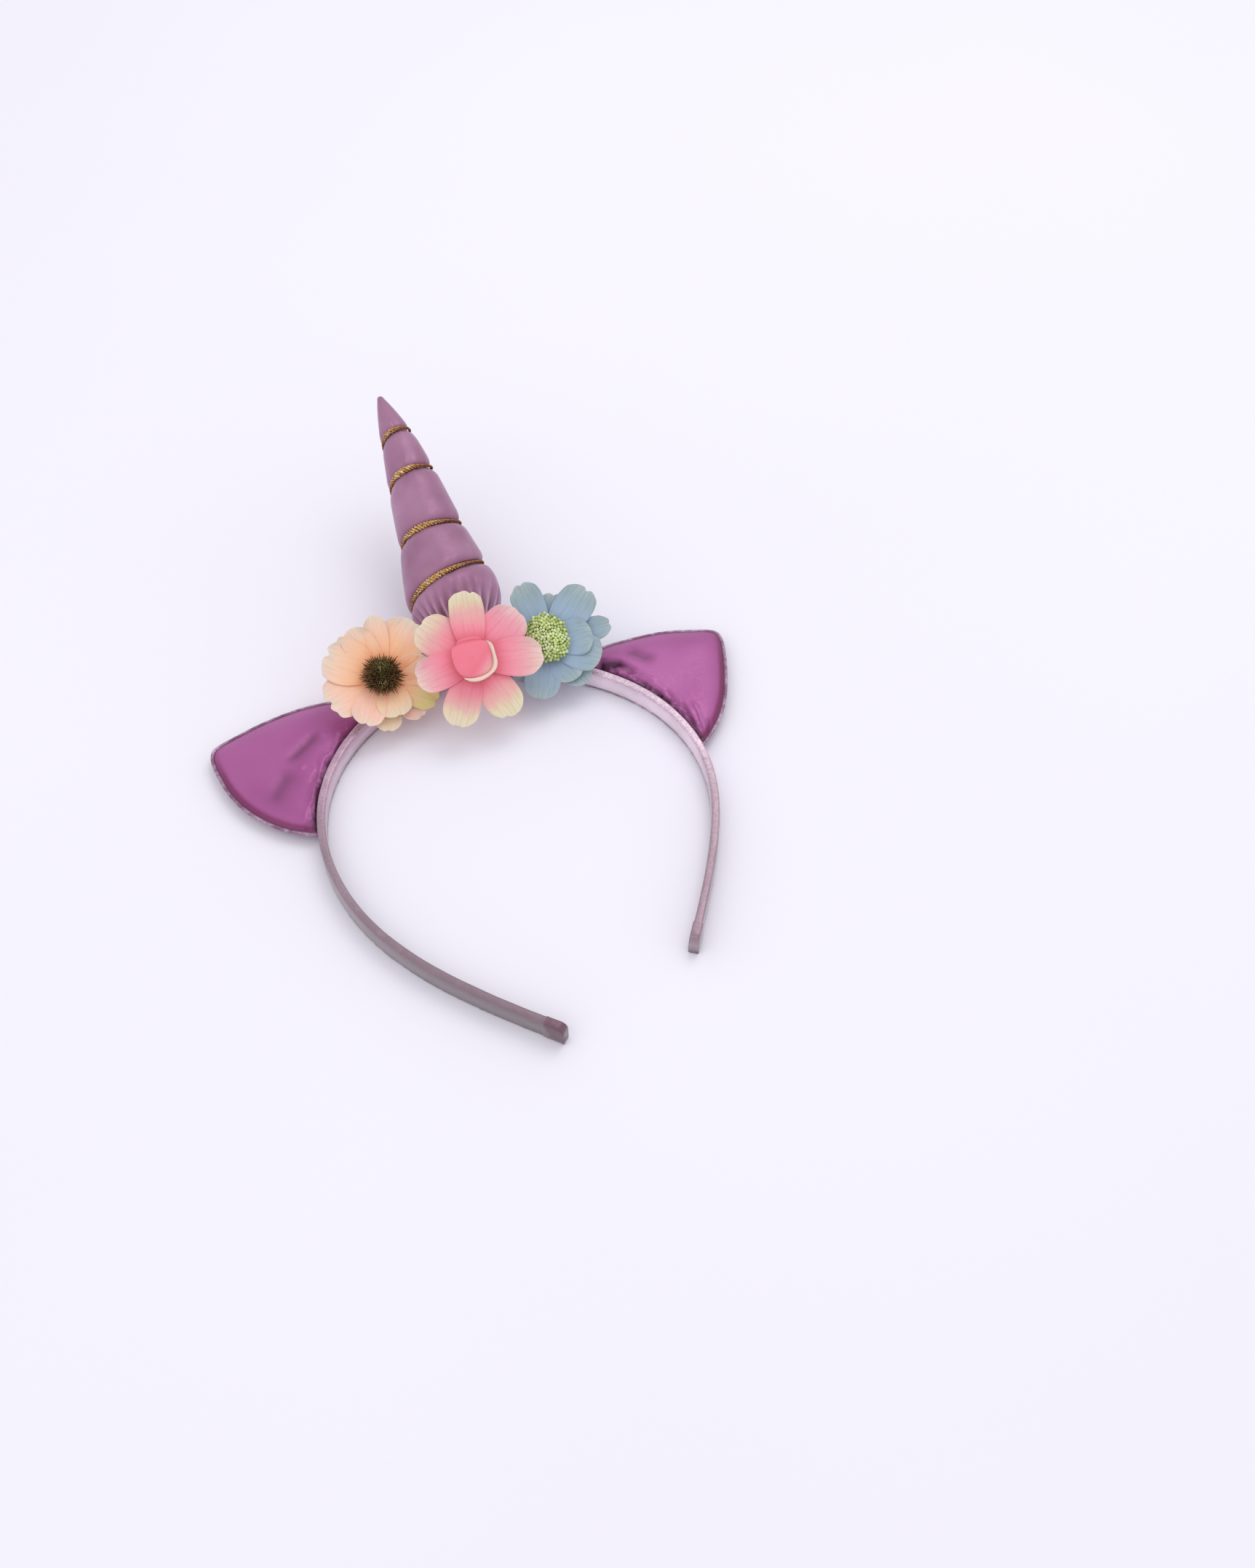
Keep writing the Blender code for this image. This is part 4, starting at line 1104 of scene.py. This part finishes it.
def build_bud(finish):
    """Closed cup of cloth whose edge curls out over one side as a pale lip."""
    quarter = math.pi / 2.0
    shoulder, fold = 0.45, 0.62    # shares where the wall ends and the top or the curl begins
    t, turn = np.meshgrid(np.linspace(0.0, 1.0, 26), circle(72), indexing="ij")
    wall = unit(t / shoulder)
    over = unit((t - shoulder) / (1.0 - shoulder)) * quarter
    reach = np.where(t < shoulder, 4.2 + 2.7 * np.sin(wall * quarter), 6.9 * np.cos(over))
    reach = reach * squared(turn)
    x, y = reach * np.cos(turn) - 0.2, reach * np.sin(turn) * 1.04 + 0.5
    toward = 0.62 * x - 0.78 * y
    high = 8.6 - 1.5 * smooth(toward, 0.0, 6.4)
    z = np.where(t < shoulder, 1.4 + (high - 2.4) * wall, high - 1.0 + np.sin(over) ** 0.7)
    crease = bell(y - 6.2 + 0.12 * x + 0.02 * x * x, 0.55) * (t > 0.5)
    points = [np.stack([x, y, z - 0.55 * crease], -1).reshape(-1, 3)]
    faces = grid_faces(*t.shape, wrap=True)
    lip = smooth(toward, 2.0, 6.2) * smooth(t, 0.40, 0.50)
    along = [(0.12 + 0.62 * lip).ravel()]
    kind = [(0.05 + 0.6 * lip).ravel()]
    shade = [(0.85 * (1.0 - smooth(t, 0.20, 0.42)) + 0.35 * crease).ravel()]

    t, s = sheet_shares(22, 60)
    turn = np.radians(-52.0 + s * 84.0)
    edge = np.sqrt(unit(1.0 - np.abs(s) ** 5))
    wall = unit(t / fold)
    curl = unit((t - fold) / (1.0 - fold)) * edge
    reach = (4.3 + 2.8 * np.sin(wall * quarter) * (0.96 + 0.04 * edge)) * squared(turn)
    reach += 0.70 * np.sin(curl * quarter) + 0.16 * np.sin(9.0 * s) * curl
    x, y = reach * np.cos(turn) - 0.2, reach * np.sin(turn) * 1.04 + 0.3
    z = 1.4 + 6.1 * wall * (0.75 + 0.25 * edge) + 0.75 * np.sin(curl * math.pi * 0.8)
    z += 0.16 * np.sin(7.0 * s + 1.0) * curl
    faces += grid_faces(*t.shape, start=len(points[0]))
    points.append(np.stack([x, y, z], -1).reshape(-1, 3))
    along.append((0.30 + 0.70 * smooth(t, 0.35, 0.75)).ravel())
    kind.append(np.full(t.size, 0.62))
    shade.append((0.85 * (1.0 - smooth(t, 0.3, 0.6))).ravel())
    values = {"along": along, "kind": kind, "shade": shade}
    values = {key: np.concatenate(parts) for key, parts in values.items()}
    none = np.zeros(len(values["along"]))
    made = add_mesh("bud_cup", PINK.place(np.vstack(points)), faces, finish, ("pink_bud",),
                    dict(values, across=none, green=none))
    thicken(made, BUD_CLOTH)


def build_flowers():
    pink = petal_finish("pink_cloth",
                        [(0.0, 240, 118, 138), (0.45, 246, 142, 164), (0.80, 238, 160, 180),
                         (1.0, 236, 196, 196)],
                        [(0.0, 240, 120, 138), (0.42, 244, 146, 162), (0.66, 232, 178, 172),
                         (0.84, 226, 214, 178), (1.0, 228, 220, 190)], colour(214, 84, 108))
    build_petals("pink_petal_cloth", PINK, PINK_PETALS, pink, "pink_petals")
    build_bud(pink)
    peach = petal_finish("peach_cloth",
                         [(0.0, 250, 172, 120), (0.45, 250, 192, 150), (0.75, 246, 206, 178),
                          (1.0, 226, 214, 198)],
                         [(0.0, 250, 176, 140), (0.45, 248, 188, 162), (0.75, 246, 198, 182),
                          (1.0, 236, 208, 192)], colour(238, 176, 144))
    build_petals("peach_back_cloth", PEACH, PEACH_BACK, peach, "peach_back_petals")
    build_petals("peach_front_cloth", PEACH, PEACH_FRONT, peach, "peach_front_petals",
                 FRONT_LIFT)
    build_brush()
    blue = petal_finish("blue_cloth",
                        [(0.0, 154, 174, 194), (0.45, 154, 175, 203), (0.80, 152, 174, 190),
                         (1.0, 164, 179, 182)],
                        [(0.0, 155, 178, 188), (0.45, 157, 181, 200), (0.80, 156, 177, 179),
                         (1.0, 170, 185, 180)], colour(140, 160, 180))
    build_petals("blue_back_cloth", BLUE, BLUE_BACK, blue, "blue_back_petals")
    build_petals("blue_front_cloth", BLUE, BLUE_FRONT, blue, "blue_front_petals", FRONT_LIFT)
    build_stamens()
    foot = Finish("moulded_foot", Roughness=0.45)
    foot.speckle(foot.noise(300.0, 2.0, 0.5), (214, 218, 204), (232, 234, 224))
    foot.bump(foot.noise(900.0, 2.0, 0.5), 0.00005, 0.5)
    for node in ("peach_foot", "pink_foot", "blue_foot"):
        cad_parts[node].data.materials.clear()
        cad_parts[node].data.materials.append(foot.made)


# Floor, light and camera

FLOOR_REACH = 3.0    # metres
SENSOR = 36.0
PHOTO_PIXELS = 2156.0    # along the photograph's longer side
FOCAL_PIXELS = 2378.3    # the photograph's camera, as fitted to the band's two edges
CAMERA_PLACE = (-100.5, -386.7, 452.9 + MID)
CAMERA_RIGHT = (0.9195, -0.3930, -0.0059)
CAMERA_BACK = (-0.2346, -0.5607, 0.7941)


def build_stage():
    mesh = bpy.data.meshes.new("floor")
    corners = [(-1, -1), (1, -1), (1, 1), (-1, 1)]
    mesh.from_pydata([(x * FLOOR_REACH, y * FLOOR_REACH, 0.0) for x, y in corners], [], [(0, 1, 2, 3)])
    pale = Finish("pale_floor", Roughness=0.9, Specular_IOR_Level=0.1)
    pale.speckle(pale.noise(3.0, 2.0, 0.5), (243, 241, 250), (245, 243, 252))
    mesh.materials.append(pale.made)
    floor = bpy.data.objects.new("floor", mesh)
    bpy.context.scene.collection.objects.link(floor)


def add_light(name, place, size, power):
    """Round lamp at a place in metres, turned to the middle of the frame."""
    data = bpy.data.lights.new(name, "AREA")
    data.shape = "DISK"
    data.size = size
    data.energy = power
    made = bpy.data.objects.new(name, data)
    made.location = place
    made.rotation_euler = (-Vector(place)).to_track_quat("-Z", "Y").to_euler()
    bpy.context.scene.collection.objects.link(made)


def build_light():
    bpy.context.scene.view_settings.view_transform = "Standard"
    world = bpy.data.worlds.new("studio")
    world.use_nodes = True
    sky = world.node_tree.nodes["Background"].inputs
    sky["Color"].default_value = (0.975, 0.97, 1.0, 1.0)
    sky["Strength"].default_value = 0.86
    bpy.context.scene.world = world
    add_light("key", (0.45, 0.30, 0.95), 0.7, 2.1)
    add_light("fill", (-0.60, -0.25, 0.80), 0.9, 0.9)


def build_camera():
    data = bpy.data.cameras.new("camera")
    data.sensor_width = SENSOR
    data.lens = FOCAL_PIXELS / PHOTO_PIXELS * SENSOR
    data.clip_start = 0.01
    made = bpy.data.objects.new("camera", data)
    bpy.context.scene.collection.objects.link(made)
    right = Vector(CAMERA_RIGHT).normalized()
    back = Vector(CAMERA_BACK)
    back = (back - right * back.dot(right)).normalized()
    turn = Matrix((right, back.cross(right), back)).transposed().to_4x4()
    made.matrix_world = Matrix.Translation((Vector(CAMERA_PLACE) + Vector(ORIGIN)) * MM) @ turn
    bpy.context.scene.camera = made


build_camera()
build_stage()
build_light()
build_band()
leather = ear_finish()
build_ear("left", leather)
build_ear("right", leather)
build_horn()
build_cord()
build_flowers()
